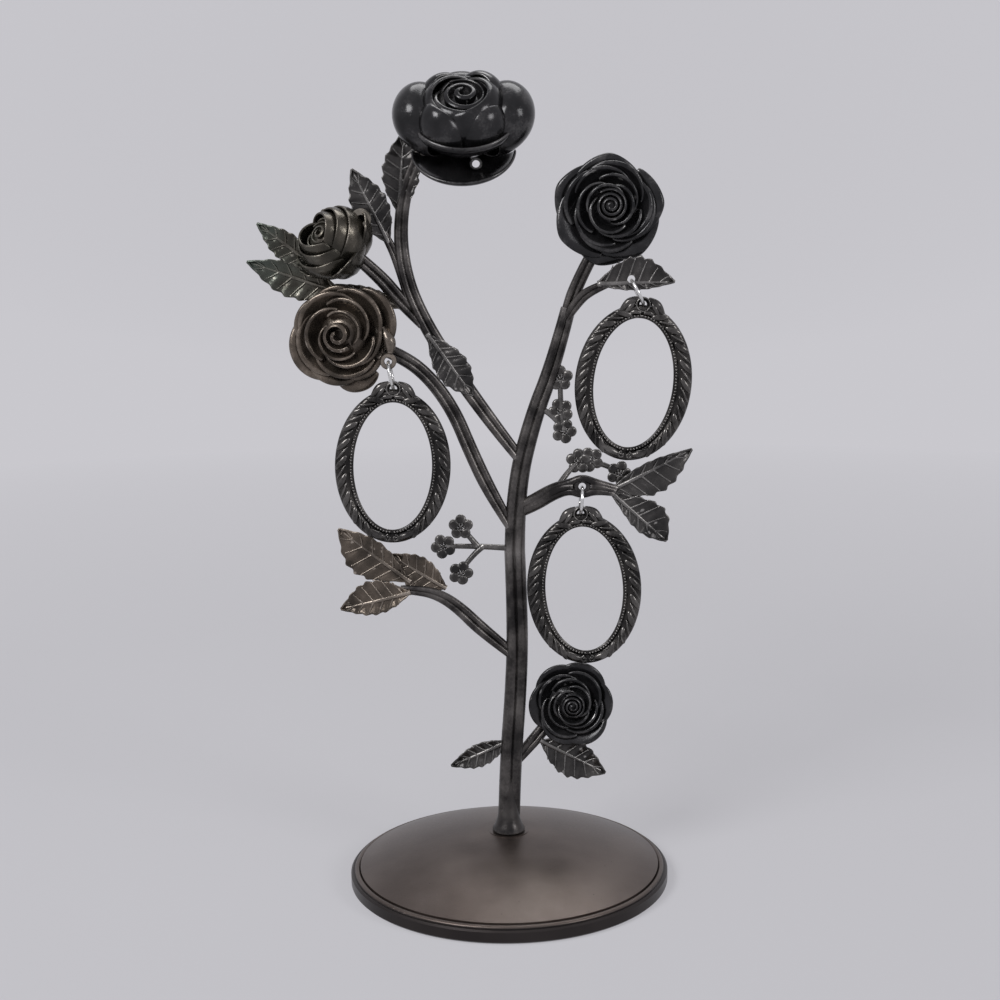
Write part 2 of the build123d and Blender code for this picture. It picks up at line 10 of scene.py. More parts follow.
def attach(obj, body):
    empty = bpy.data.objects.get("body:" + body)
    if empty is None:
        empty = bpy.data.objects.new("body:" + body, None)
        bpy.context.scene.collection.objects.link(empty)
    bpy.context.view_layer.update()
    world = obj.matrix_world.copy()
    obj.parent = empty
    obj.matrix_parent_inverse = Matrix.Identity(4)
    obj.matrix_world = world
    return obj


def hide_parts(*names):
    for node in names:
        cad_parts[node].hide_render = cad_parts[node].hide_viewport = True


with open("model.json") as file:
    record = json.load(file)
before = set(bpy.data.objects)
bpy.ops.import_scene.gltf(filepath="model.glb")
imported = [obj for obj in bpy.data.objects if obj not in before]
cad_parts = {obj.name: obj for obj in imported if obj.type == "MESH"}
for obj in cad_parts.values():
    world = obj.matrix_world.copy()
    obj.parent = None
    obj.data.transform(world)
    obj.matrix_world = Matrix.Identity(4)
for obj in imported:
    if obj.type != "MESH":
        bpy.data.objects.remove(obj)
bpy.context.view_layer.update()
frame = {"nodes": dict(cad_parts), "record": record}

mm = 0.001
print("frame loaded:", len(frame["nodes"]), "nodes")

# Camera, floor and light

camera = {
    "place": (-1.294, -472.59, 200.94),  # mm
    "pitch": 9.8,  # degrees below level
    "roll": -0.8,
    "lens": 57.6,
    "sensor": 36,
}
studio = {
    "floorHalf": 2.6,  # m
    "floorBack": 1.3,
    "sweepRadius": 0.7,
    "wallHeight": 2,
    "floorColour": (0.62, 0.615, 0.64),
    "floorShade": (0.59, 0.59, 0.62),
    "blotchScale": 3,
    "floorRoughness": 0.7,
    "seenColour": (0.585, 0.578, 0.612),
    "seenShare": 0.6,  # of the floor's look, for eye and mirror rays
    "seenFar": (0.35, 1),  # m from the tree, over which that share grows to 1
    "worldStrength": 0.6,
    "lamps": [
        # place in m, aim in m, size in m, power in W
        ((-0.75, -0.85, 0.95), (0, 0, 0.12), 0.55, 11),
        ((0.85, -0.65, 0.55), (0, 0, 0.12), 0.35, 2.8),
        ((0.1, 0.55, 1.1), (0, 0, 0.1), 0.8, 9),
    ],
}


def mmPlace(x, y, z):
    return Vector((x, y, z)) * mm


def makeCamera():
    pitch = math.radians(camera["pitch"])
    roll = math.radians(camera["roll"])
    right = Vector((1, 0, 0))
    up = Vector((0, math.sin(pitch), math.cos(pitch)))
    turnedRight = math.cos(roll) * right + math.sin(roll) * up
    turnedUp = math.cos(roll) * up - math.sin(roll) * right
    back = turnedRight.cross(turnedUp)
    data = bpy.data.cameras.new("camera")
    data.lens = camera["lens"]
    data.sensor_width = camera["sensor"]
    data.clip_start = 0.01
    holder = bpy.data.objects.new("camera", data)
    bpy.context.scene.collection.objects.link(holder)
    place = Matrix((turnedRight, turnedUp, back)).transposed().to_4x4()
    place.translation = mmPlace(*camera["place"])
    holder.matrix_world = place
    bpy.context.scene.camera = holder


makeCamera()
bpy.context.scene.view_settings.view_transform = "Standard"
print("camera placed")

# Shader helpers


def feed(tree, socket, value):
    if isinstance(value, Wire):
        tree.links.new(value.socket, socket)
    else:
        socket.default_value = value


class Wire:
    # one output socket, so that shader maths reads as an expression
    def __init__(self, tree, socket):
        self.tree = tree
        self.socket = socket

    def maths(self, operation, *values):
        node = self.tree.nodes.new("ShaderNodeMath")
        node.operation = operation
        for socket, value in zip(node.inputs, values):
            feed(self.tree, socket, value)
        return Wire(self.tree, node.outputs[0])

    def __add__(self, other):
        return self.maths("ADD", self, other)

    def __radd__(self, other):
        return self.maths("ADD", other, self)

    def __sub__(self, other):
        return self.maths("SUBTRACT", self, other)

    def __rsub__(self, other):
        return self.maths("SUBTRACT", other, self)

    def __mul__(self, other):
        return self.maths("MULTIPLY", self, other)

    def __rmul__(self, other):
        return self.maths("MULTIPLY", other, self)


class Finish:
    # one material under construction
    def __init__(self, name):
        self.material = bpy.data.materials.new(name)
        self.material.use_nodes = True
        self.tree = self.material.node_tree
        self.shader = self.tree.nodes["Principled BSDF"]

    def node(self, kind, settings, sockets, output=0):
        node = self.tree.nodes.new(kind)
        for name, value in settings.items():
            if name == "stops":
                ramp = node.color_ramp
                while len(ramp.elements) < len(value):
                    ramp.elements.new(0.5)
                for element, (position, shade) in zip(ramp.elements, value):
                    element.position = position
                    element.color = (shade, shade, shade, 1)
            else:
                setattr(node, name, value)
        for name, value in sockets.items():
            feed(self.tree, node.inputs[name], value)
        return Wire(self.tree, node.outputs[output])

    def mix(self, share, first, second):
        sockets = {0: share, 6: first, 7: second}
        return self.node("ShaderNodeMix", {"data_type": "RGBA"}, sockets, 2)

    def ramp(self, value, stops):
        return self.node("ShaderNodeValToRGB", {"stops": stops}, {"Fac": value})

    def set(self, **sockets):
        names = {"colour": "Base Color", "roughness": "Roughness", "metallic": "Metallic",
                 "normal": "Normal", "coat": "Coat Weight", "coatRoughness": "Coat Roughness"}
        for name, value in sockets.items():
            feed(self.tree, self.shader.inputs[names[name]], value)


def colour(shade):
    return (*shade, 1)


def metalFinish(name, look):
    finish = Finish(name)
    black = colour(look["deep"])
    place = finish.node("ShaderNodeTexCoord", {}, {}, "Object")
    cloud = finish.node("ShaderNodeTexNoise", {}, {"Vector": place, "Scale": look["cloudScale"], "Detail": 5})
    grain = finish.node("ShaderNodeTexNoise", {}, {"Vector": place, "Scale": look["grainScale"], "Detail": 3})
    pits = finish.node("ShaderNodeTexVoronoi", {}, {"Vector": place, "Scale": look["pitScale"]})
    edge = finish.node("ShaderNodeNewGeometry", {}, {}, "Pointiness")
    worn = finish.ramp(edge + (cloud - 0.5) * look["cloudWear"] + (grain - 0.5) * look["grainWear"],
                       look["wornStops"])
    deep = finish.ramp(edge + (grain - 0.5) * look["grainDeep"], look["deepStops"])
    pitted = finish.ramp(pits + (grain - 0.5) * look["grainPits"], [(0, 1), (look["pitSize"], 0)])
    tone = finish.ramp(cloud, look["toneStops"])
    body = finish.mix(tone, colour(look["dark"]), colour(look["light"]))
    rubbed = finish.mix(worn * look["wornShare"], body, colour(look["worn"]))
    shade = finish.mix(deep * look["deepShare"], rubbed, black)
    final = finish.mix(pitted * look["pitShare"], shade, black)
    rough = look["roughness"] + (cloud - 0.5) * look["cloudRough"] + (grain - 0.5) * look["grainRough"]
    rough = rough - worn * look["wornSmooth"] + deep * look["deepRough"]
    height = grain * look["grainHeight"] + cloud * look["cloudHeight"] - pitted * look["pitHeight"]
    normal = finish.node("ShaderNodeBump", {}, {"Height": height, "Distance": mm, "Strength": 1})
    if "shadedRimTop" in look:  # painted shade: the rim band is darker than the dome
        height = finish.node("ShaderNodeSeparateXYZ", {}, {"Vector": place}, "Z") * 100
        rim = finish.ramp(height, [(look["shadedRimTop"] / 10, 1), (look["shadedRimTop"] / 10 + 0.04, 0)])
        final = finish.mix(rim * look["rimShadeShare"], final, black)
    if "verdigris" in look:  # a green bloom that grows towards the outer leaf tips
        outward = finish.node("ShaderNodeSeparateXYZ", {}, {"Vector": place}, "X") * -10
        green = finish.ramp(outward + (cloud - 0.5) * look["greenCloud"], look["greenStops"])
        final = finish.mix(green, final, colour(look["verdigris"]))
    finish.set(colour=final, roughness=rough, metallic=look["metallic"], normal=normal)
    return finish.material


blackened = (0.012, 0.012, 0.014)
pewter = {
    "cloudScale": 160, "grainScale": 1500, "pitScale": 500, "pitSize": 0.12,
    "dark": (0.05, 0.048, 0.05), "light": (0.12, 0.115, 0.115),
    "worn": (0.62, 0.6, 0.58), "deep": blackened,
    "wornStops": [(0.52, 0), (0.6, 1)], "deepStops": [(0.4, 1), (0.49, 0)],
    "toneStops": [(0.35, 0), (0.68, 1)], "wornShare": 0.85, "deepShare": 0.9, "pitShare": 0.25,
    "cloudWear": 0.1, "grainWear": 0.05, "grainDeep": 0.04, "grainPits": 0.2,
    "cloudRough": 0.16, "grainRough": 0.12, "wornSmooth": 0.06, "deepRough": 0.2,
    "roughness": 0.3, "metallic": 0.85, "grainHeight": 0.05, "cloudHeight": 0.1, "pitHeight": 0.02,
}
looks = {
    # the foot's low rim band gets painted shade, darker than the dome
    "foot_metal": {**pewter, "cloudScale": 45, "pitScale": 260, "pitSize": 0.06, "pitShare": 0.6,
                   "dark": (0.085, 0.068, 0.06), "light": (0.135, 0.112, 0.1),
                   "worn": (0.5, 0.37, 0.31), "roughness": 0.36, "wornShare": 0, "deepShare": 0,
                   "grainHeight": 0.02, "cloudHeight": 0.12, "shadedRimTop": 4.6, "rimShadeShare": 0.74},
    "pewter_stem": {**pewter, "dark": (0.026, 0.024, 0.024), "light": (0.085, 0.078, 0.074),
                    "worn": (0.52, 0.49, 0.47), "wornStops": [(0.54, 0), (0.7, 1)], "wornShare": 0.55,
                    "roughness": 0.32, "cloudHeight": 0.16},
    "pewter_black": {**pewter, "dark": (0.014, 0.014, 0.015), "light": (0.034, 0.033, 0.035),
                     "worn": (0.42, 0.41, 0.4), "roughness": 0.19, "metallic": 0.6, "wornShare": 0.42,
                     "grainHeight": 0.02, "pitShare": 0.1},
    "pewter_warm": {**pewter, "dark": (0.052, 0.043, 0.035), "light": (0.15, 0.122, 0.098),
                    "worn": (0.6, 0.53, 0.46), "roughness": 0.27, "metallic": 0.75, "wornShare": 0.45},
    "pewter_green": {**pewter, "dark": (0.04, 0.035, 0.028), "light": (0.11, 0.096, 0.078),
                     "worn": (0.58, 0.53, 0.46), "roughness": 0.27, "metallic": 0.75, "wornShare": 0.45,
                     "verdigris": (0.052, 0.08, 0.07), "greenCloud": 0.5,
                     "greenStops": [(0.54, 0.05), (0.76, 0.62)]},
    "pewter_leaf": {**pewter, "dark": (0.024, 0.023, 0.023), "light": (0.07, 0.066, 0.064),
                    "metallic": 0.75, "wornShare": 0.42},
    "pewter_flower": {**pewter, "dark": (0.024, 0.023, 0.023), "light": (0.07, 0.065, 0.062),
                      "metallic": 0.7, "wornShare": 0.35},
    "pewter_frame": {**pewter, "dark": (0.018, 0.017, 0.017), "light": (0.052, 0.048, 0.045),
                     "worn": (0.55, 0.53, 0.51), "wornShare": 0.28, "metallic": 0.85, "roughness": 0.21},
    "ring_wire": {**pewter, "dark": (0.62, 0.62, 0.62), "light": (0.8, 0.79, 0.78),
                  "worn": (0.9, 0.9, 0.88), "roughness": 0.16, "grainHeight": 0.004,
                  "cloudHeight": 0.01, "pitShare": 0},
    "screw_steel": {**pewter, "dark": (0.45, 0.45, 0.46), "light": (0.58, 0.58, 0.59),
                    "worn": (0.8, 0.8, 0.8), "roughness": 0.3, "grainHeight": 0.01},
}


def feltFinish(name):
    finish = Finish(name)
    place = finish.node("ShaderNodeTexCoord", {}, {}, "Object")
    fibre = finish.node("ShaderNodeTexNoise", {}, {"Vector": place, "Scale": 2200, "Detail": 6})
    shade = finish.mix(fibre, colour((0.012, 0.012, 0.013)), colour((0.045, 0.044, 0.046)))
    normal = finish.node("ShaderNodeBump", {}, {"Height": fibre, "Distance": 0.3 * mm, "Strength": 0.8})
    finish.set(colour=shade, roughness=0.95, metallic=0, normal=normal)
    return finish.material


finishes = {name: metalFinish(name, look) for name, look in looks.items()}
finishes["pad_felt"] = feltFinish("pad_felt")
print("finishes made:", len(finishes))

# Modelling helpers


def alone(piece=None):
    if bpy.context.object and bpy.context.object.mode != "OBJECT":
        bpy.ops.object.mode_set(mode="OBJECT")
    bpy.ops.object.select_all(action="DESELECT")
    if piece:
        piece.select_set(True)
        bpy.context.view_layer.objects.active = piece


def pick(piece, wanted):
    bpy.ops.mesh.select_all(action="DESELECT")
    mesh = bmesh.from_edit_mesh(piece.data)
    mesh.verts.ensure_lookup_table()
    for index in wanted:
        mesh.verts[index].select = True
    mesh.select_flush(True)
    bmesh.update_edit_mesh(piece.data, loop_triangles=False, destructive=False)


def pickAll():
    bpy.ops.mesh.select_all(action="SELECT")


def started(name, operation, **settings):
    # a new primitive, open in edit mode
    alone()
    operation(**settings)
    piece = bpy.context.object
    piece.name = name
    bpy.ops.object.mode_set(mode="EDIT")
    return piece


def finished(angle=0):
    # faces turned outwards, then smooth up to the angle in degrees
    pickAll()
    bpy.ops.mesh.normals_make_consistent(inside=False)
    bpy.ops.object.mode_set(mode="OBJECT")
    if angle:
        bpy.ops.object.shade_smooth_by_angle(angle=math.radians(angle))


def slide(x, y, z):
    bpy.ops.transform.translate(value=(x, y, z))


def stretch(values, centre=(0, 0, 0)):
    bpy.ops.transform.resize(value=values, center_override=centre)


def turn(degrees, axis="Z", centre=(0, 0, 0)):
    bpy.ops.transform.rotate(value=-math.radians(degrees), orient_axis=axis, center_override=centre)


def sheet(name, columns, rows):
    # a flat sheet from -1 to 1 each way, and the vertices of each column and row
    piece = started(name, bpy.ops.mesh.primitive_grid_add, x_subdivisions=columns, y_subdivisions=rows, size=2)
    byColumn = {}
    byRow = {}
    for vert in piece.data.vertices:
        byColumn.setdefault(round(vert.co.x, 4), []).append(vert.index)
        byRow.setdefault(round(vert.co.y, 4), []).append(vert.index)
    return piece, sorted(byColumn.items()), sorted(byRow.items())


def applyAll(piece):
    alone(piece)
    for modifier in list(piece.modifiers):
        bpy.ops.object.modifier_apply(modifier=modifier.name)
    bpy.ops.object.shade_smooth()


def thicken(piece, thickness, levels=2, offset=0):
    alone(piece)
    wall = piece.modifiers.new("wall", "SOLIDIFY")
    wall.thickness = thickness
    wall.offset = offset
    smooth = piece.modifiers.new("smooth", "SUBSURF")
    smooth.levels = levels
    smooth.render_levels = levels
    applyAll(piece)


def copied(piece, name):
    alone(piece)
    bpy.ops.object.duplicate()
    twin = bpy.context.object
    twin.name = name
    return twin


def joined(name, pieces):
    alone(pieces[0])
    for piece in pieces:
        piece.select_set(True)
    bpy.ops.object.join()
    whole = bpy.context.object
    whole.name = name
    return whole


def applied(piece):
    alone(piece)
    bpy.ops.object.transform_apply(location=True, rotation=True, scale=True)
    return piece


def drilled(piece, hole):
    # a round hanging hole from the front to the back
    drill = started("drill", bpy.ops.mesh.primitive_cylinder_add, vertices=32, radius=holeRadius * mm,
                    depth=drillReach * mm, location=spot(*hole), rotation=(math.radians(90), 0, 0))
    cut = piece.modifiers.new("hole", "BOOLEAN")
    cut.object = drill
    applyAll(piece)
    bpy.data.objects.remove(drill)
    return piece


def settled(piece, origin, across, front):
    # moves a piece from its own frame (x across, z to its front) to its place on the tree
    front = Vector(front).normalized()
    across = Vector(across)
    across = (across - front * across.dot(front)).normalized()
    place = Matrix((across, front.cross(across), front)).transposed().to_4x4()
    place.translation = origin
    piece.matrix_world = place @ piece.matrix_world
    return applied(piece)


slotOf = {row["node"]: row["material_slot"] for row in frame["record"]["subparts"]}


def painted(piece, slot):
    piece.data.materials.clear()
    piece.data.materials.append(finishes[slot])


def dressed(piece, node, body="tree"):
    # paints the piece with the finish of the slot of the node that it takes the place of, hangs it on its body
    # and hides that node
    slot = slotOf[node]
    painted(piece, slot)
    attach(piece, body)
    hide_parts(node)


# Places on the tree are shares of its height, and of the relief's depth towards the front

treeHeight = 244
reliefDepth = 8
holes = {"left": (-0.136, -1, 0.664), "right": (0.153, -1, 0.757), "low": (0.094, -1, 0.51),
         "rose_top": (-0.028, -0.8, 0.893), "rose_bud": (-0.165, -0.62, 0.831)}
holeRadius = 1.1
drillReach = 16


def spot(x, y, z):
    return mmPlace(x * treeHeight, y * reliefDepth, z * treeHeight)


# Floor, backdrop and lamps


def makeSweep():
    # the floor, bent up behind the tree into a wall with no line between them
    sweep = started("floor", bpy.ops.mesh.primitive_plane_add, size=2)
    half, back = studio["floorHalf"], studio["floorBack"]
    stretch((half, half, 1))
    slide(0, back - half, 0)
    pick(sweep, [vert.index for vert in sweep.data.vertices if vert.co.y > 0])
    bend = studio["sweepRadius"]
    bpy.ops.mesh.spin(steps=16, angle=math.radians(90), center=(0, back, bend), axis=(1, 0, 0))
    bpy.ops.mesh.extrude_edges_move()
    slide(0, 0, studio["wallHeight"])
    bpy.ops.object.mode_set(mode="OBJECT")
    bpy.ops.object.shade_smooth()
    return sweep


def seenRays(tree):
    # 1 where the eye or a mirror looks at the surface, 0 where it only lights the tree
    path = tree.nodes.new("ShaderNodeLightPath")
    names = ("Is Camera Ray", "Is Glossy Ray", "Is Transmission Ray")
    eye, mirror, through = (Wire(tree, path.outputs[name]) for name in names)
    return eye + mirror + through


def makeStudio():
    sweep = makeSweep()
    finish = Finish("sweepFinish")
    place = finish.node("ShaderNodeTexCoord", {}, {}, "Object")
    blotch = finish.node("ShaderNodeTexNoise", {}, {"Vector": place, "Scale": studio["blotchScale"], "Detail": 2})
    tone = finish.mix(blotch, colour(studio["floorColour"]), colour(studio["floorShade"]))
    finish.set(colour=tone, roughness=studio["floorRoughness"])
    glow = finish.tree.nodes.new("ShaderNodeEmission")
    glow.inputs["Color"].default_value = colour(studio["seenColour"])
    both = finish.tree.nodes.new("ShaderNodeMixShader")
    away = finish.node("ShaderNodeVectorMath", {"operation": "LENGTH"}, {0: place}, "Value")
    start, end = studio["seenFar"]
    share = finish.ramp(away, [(start, studio["seenShare"]), (end, 1)])
    feed(finish.tree, both.inputs[0], seenRays(finish.tree) * share)
    finish.tree.links.new(finish.shader.outputs[0], both.inputs[1])
    finish.tree.links.new(glow.outputs[0], both.inputs[2])
    finish.tree.links.new(both.outputs[0], finish.tree.nodes["Material Output"].inputs["Surface"])
    sweep.data.materials.append(finish.material)

    world = bpy.data.worlds.new("world")
    bpy.context.scene.world = world
    world.use_nodes = True
    background = world.node_tree.nodes["Background"]
    lift = seenRays(world.node_tree) * (1 - studio["worldStrength"])
    background.inputs["Color"].default_value = colour(studio["seenColour"])
    feed(world.node_tree, background.inputs["Strength"], lift + studio["worldStrength"])

    for index, (place, aim, size, power) in enumerate(studio["lamps"]):
        data = bpy.data.lights.new("lamp%d" % index, "AREA")
        data.size = size
        data.energy = power
        lamp = bpy.data.objects.new("lamp%d" % index, data)
        bpy.context.scene.collection.objects.link(lamp)
        lamp.location = place
        lamp.rotation_euler = (Vector(aim) - Vector(place)).to_track_quat("-Z", "Y").to_euler()


makeStudio()
print("studio made")

# Strands: round wires along a smooth route, with a radius at each point


def strand(name, points, radii):
    curve = bpy.data.curves.new(name, "CURVE")
    curve.dimensions = "3D"
    spline = curve.splines.new("NURBS")
    spline.points.add(len(points) - 1)
    for knot, point, radius in zip(spline.points, points, radii):
        knot.co = (*point, 1)
        knot.radius = radius
    spline.order_u = 3
    spline.use_endpoint_u = True
    spline.resolution_u = 8
    curve.bevel_depth = mm
    curve.bevel_resolution = 3
    curve.use_fill_caps = True
    piece = bpy.data.objects.new(name, curve)
    bpy.context.scene.collection.objects.link(piece)
    alone(piece)
    bpy.ops.object.convert(target="MESH")
    bpy.ops.object.shade_smooth()
    return piece


def turnedBody(name, profile, unit=1):
    # a closed round body from its back to its front, drawn as one loop after another
    radius, height = profile[0]
    body = started(name, bpy.ops.mesh.primitive_circle_add, vertices=32, radius=radius * unit * mm,
                   fill_type="NGON")
    slide(0, 0, height * unit * mm)
    for nextRadius, nextHeight in profile[1:]:
        bpy.ops.mesh.extrude_region_move()
        stretch((nextRadius / radius, nextRadius / radius, 1))
        slide(0, 0, (nextHeight - height) * unit * mm)
        radius, height = nextRadius, nextHeight
    bpy.ops.mesh.inset(thickness=0.4 * radius * unit * mm)
    finished(50)
    return body


# Leaves

leafForm = {
    "teeth": 7,
    "rows": 4,  # each side of the midrib
    "slant": 1.15,  # how far the side veins lean towards the tip
    "belly": 0.85,  # below 1 the widest place is nearer to the base
    "bellies": {"leaf_right_lower": 1.35, "leaf_middle": 1, "leaf_left_upper": 1},
    "widths": (0.9, 0.94, 1, 0.84),  # across one tooth, from valley to valley
    "rises": (-0.26, -0.12, 0.34, -0.1),  # mm
    "innerRow": 0.12,
    "arch": 0.9,
    "cup": 0.9,
    "thickness": 0.65,
    "ribRadii": (0.9, 0.8, 0.6, 0.3),
    "veinRadii": (0.34, 0.28, 0.16),
    "veinLean": 0.13,
    "ribPlaces": (0, 0.3, 0.6, 0.92),
    "veinPlaces": (0, 0.45, 0.86),
    "veinStart": 0.35,
    "ends": (0.015, 0.99),  # the outline is not drawn nearer to a point than this
    "endWidth": 0.8,  # where no teeth are
    "toothReach": 1.5,  # how far the teeth are drawn along the leaf
    "cupStart": 0.4,
}
# base, tip, then half widths left and right of the midrib as shares of the length
leaves = {
    "leaf_top": ((-0.121, 0, 0.838), (-0.112, -0.12, 0.934), 0.26, 0.25),
    "leaf_high_left": ((-0.134, 0, 0.803), (-0.176, 0, 0.89), 0.25, 0.25),
    "leaf_bud_upper": ((-0.219, -0.12, 0.774), (-0.29, 0, 0.828), 0.22, 0.19),
    "leaf_bud_lower": ((-0.19, 0.05, 0.743), (-0.305, 0.05, 0.783), 0.22, 0.17),
    "leaf_bud_sheath": ((-0.12, 0.05, 0.726), (-0.2, 0.05, 0.754), 0.14, 0.14),
    "leaf_middle": ((-0.09, -0.12, 0.694), (-0.036, -0.12, 0.618), 0.24, 0.24),
    "leaf_right_high": ((0.113, -1, 0.752), (0.205, -1, 0.753), 0.37, 0.1),
    "leaf_right_upper": ((0.128, -0.38, 0.5), (0.229, -0.38, 0.551), 0.11, 0.28),
    "leaf_right_lower": ((0.124, -0.5, 0.505), (0.198, -0.5, 0.438), 0.31, 0.15),
    "leaf_left_upper": ((-0.118, 0, 0.388), (-0.205, 0, 0.456), 0.31, 0.18),
    "leaf_left_lower": ((-0.118, -0.1, 0.375), (-0.205, -0.1, 0.355), 0.2, 0.33),
    "leaf_left_inner": ((-0.074, 0.15, 0.378), (-0.143, 0.15, 0.422), 0.28, 0.27),
    "leaf_low_right": ((0.042, 0.25, 0.178), (0.124, 0.12, 0.134), 0.27, 0.3),
    "leaf_low_left": ((0, 0, 0.18), (-0.072, 0, 0.149), 0.22, 0.2),
}


def leafWidth(share, belly):
    return math.sin(math.pi * share ** belly)


def leafArch(share):
    return leafForm["arch"] * math.sin(math.pi * share) * mm


def makeLeaf(name, baseRow, tipRow, leftShare, rightShare):
    base = spot(*baseRow)
    along = spot(*tipRow) - base
    length = along.length
    teeth, rows = leafForm["teeth"], leafForm["rows"]
    belly = leafForm["bellies"].get(name, leafForm["belly"])
    leaf, byColumn, byRow = sheet(name, 4 * teeth, 2 * rows)
    for y, row in byRow:
        pick(leaf, row)
        if abs(abs(y) - 1 / rows) < 0.01:  # draw the first row in to the midrib
            slide(0, math.copysign(leafForm["innerRow"] - abs(y), y), 0)
        slide(leafForm["slant"] * abs(y) / (teeth + 1), 0, 0)  # lean the side veins forwards
    side = {index: y for y, row in byRow for index in row}
    last = len(byColumn) - 1
    for number, (x, column) in enumerate(byColumn):
        share = number / last
        phase = number % 4
        plain = number < 2 or number > last - 1
        width = leafWidth(min(max(share, leafForm["ends"][0]), leafForm["ends"][1]), belly)
        width *= leafForm["endWidth"] if plain else leafForm["widths"][phase]
        rise = 0 if plain else leafForm["rises"][phase] * min(1, 3 * (1 - share), 4 * share)
        for sign, halfShare in ((1, leftShare), (-1, rightShare)):
            half = [index for index in column if side[index] * sign > 0.01]
            grown = 2 * halfShare * width
            pick(leaf, half)
            stretch((grown * leafForm["toothReach"], grown, 1), (x, 0, 0))
            slide(0, 0, rise * mm)
        pick(leaf, column)
        slide(0, 0, leafArch(share))
    for y, row in byRow:  # cup the sides
        pick(leaf, row)
        slide(0, 0, leafForm["cup"] * (y * y - leafForm["cupStart"]) * mm)
    pickAll()
    stretch((length / 2, length / 2, 1))
    slide(length / 2, 0, 0)
    thicken(leaf, leafForm["thickness"] * mm, 2)
    ribs = [Vector((share * length, 0, leafArch(share) * 0.9 - 0.1 * mm)) for share in leafForm["ribPlaces"]]
    pieces = [leaf, strand(name + "_rib", ribs, leafForm["ribRadii"])]
    for number in range(1, teeth):  # raised side veins, one for each tooth
        share = (number - leafForm["veinStart"]) / teeth
        for sign, halfShare in ((1, leftShare), (-1, rightShare)):
            route = []
            for out in leafForm["veinPlaces"]:
                place = share + leafForm["veinLean"] * out
                width = halfShare * leafWidth(min(place, 0.98), belly) * out
                cup = leafForm["cup"] * (out * out - leafForm["cupStart"])
                height = leafArch(place) + (cup + 0.3 - 0.2 * out) * mm
                route.append(Vector((place * length, sign * width * length, height)))
            pieces.append(strand(name + "_vein", route, leafForm["veinRadii"]))
    pieces = [settled(piece, base, along, (0, -1, 0)) for piece in pieces]
    if name == "leaf_right_high":
        pieces = [drilled(piece, holes["right"]) for piece in pieces]
    return joined(name + "_blade", pieces)


for name, rows in leaves.items():
    dressed(makeLeaf(name, *rows), name)
print("leaves made:", len(leaves))

# Stems: two strands side by side with a core between them, a little twisted

stemForm = {"apart": 0.52, "thin": 0.66, "core": 0.4, "root": 0.7, "twist": (-25, 40),
            "twists": {"trunk_upper": (15, -40)}}
# places along the stem, then its radius in mm at the root and at the end
stems = {
    "trunk_lower": ([(0, 0, 0.062), (0.003, 0, 0.15), (0.011, 0, 0.24), (0.015, 0, 0.33),
                     (0.012, 0, 0.425)], 3, 2.7),
    "trunk_upper": ([(0.012, 0, 0.424), (0.013, 0, 0.5), (0.036, 0, 0.59), (0.062, 0, 0.655),
                     (0.08, 0, 0.722)], 2.7, 2),
    "stem_left_rose": ([(0.008, 0, 0.455), (-0.018, 0, 0.5), (-0.041, 0, 0.552),
                        (-0.06, 0, 0.6), (-0.088, -0.25, 0.642), (-0.12, -0.55, 0.669),
                        (-0.16, -0.55, 0.686)], 2, 1.8),
    "stem_top_rose": ([(0.02, 0, 0.54), (-0.03, 0, 0.605), (-0.098, 0, 0.712),
                       (-0.12, 0, 0.78), (-0.118, 0, 0.85), (-0.095, -0.12, 0.908),
                       (-0.076, -0.2, 0.935)], 2.2, 1.5),
    "stem_bud": ([(-0.095, 0, 0.705), (-0.127, 0, 0.74), (-0.146, -0.12, 0.764),
                  (-0.175, -0.3, 0.79)], 2.1, 1.7),
    "stem_leaf_high": ([(-0.112, 0, 0.735), (-0.119, 0, 0.766), (-0.13, 0, 0.797),
                        (-0.14, 0, 0.815)], 1.5, 1),
    "stem_right_rose": ([(0.072, 0, 0.695), (0.082, 0, 0.728), (0.092, -0.12, 0.753),
                         (0.108, -0.25, 0.785), (0.126, -0.3, 0.815)], 1.9, 1.6),
    "stem_right_leaf": ([(0.074, 0, 0.705), (0.091, -0.25, 0.732), (0.108, -0.62, 0.745),
                         (0.125, -0.95, 0.752)], 1.7, 1.1),
    "branch_left": ([(0.012, 0, 0.29), (-0.03, 0, 0.325), (-0.057, 0, 0.353),
                     (-0.081, 0, 0.37), (-0.106, 0, 0.377), (-0.13, 0, 0.378)], 2.1, 1.2),
    "stem_low_rose": ([(0.002, 0, 0.145), (0.03, 0.45, 0.172), (0.056, 0.75, 0.2),
                       (0.08, 0.65, 0.224)], 2, 1.6),
}


def makeStem(name, rows, rootRadius, endRadius):
    points = [spot(*row) for row in rows]
    last = len(points) - 1
    start, sweep = stemForm["twists"].get(name, stemForm["twist"])
    strands = []
    for sign in (-1, 0, 1):
        route = []
        radii = []
        for number, point in enumerate(points):
            share = number / last
            along = points[min(number + 1, last)] - points[max(number - 1, 0)]
            across = Vector((-along.z, 0, along.x)).normalized()
            angle = math.radians(start + share * sweep)
            radius = rootRadius + share * (endRadius - rootRadius)
            if number == 0 and not name.startswith("trunk"):
                radius *= stemForm["root"]
            offset = across * math.cos(angle) + Vector((0, math.sin(angle), 0))
            route.append(point + offset * sign * stemForm["apart"] * radius * mm)
            radii.append(stemForm["thin" if sign else "core"] * radius)
        strands.append(strand(name + "_strand", route, radii))
    return joined(name + "_twin", strands)


# radius and height in mm
trunkFlare = [(4.6, 15.4), (5, 15.6), (5, 16.1), (4.2, 17.6), (3.4, 20), (2.7, 24), (2.1, 28), (1.6, 32),
              (1.15, 37), (0.6, 37.2)]

for name, (rows, rootRadius, endRadius) in stems.items():
    stem = makeStem(name, rows, rootRadius, endRadius)
    if name == "trunk_lower":
        stem = joined(name + "_twin", [stem, turnedBody(name + "_flare", trunkFlare)])
    dressed(stem, name)
print("stems made:", len(stems))

# Blossom sprays

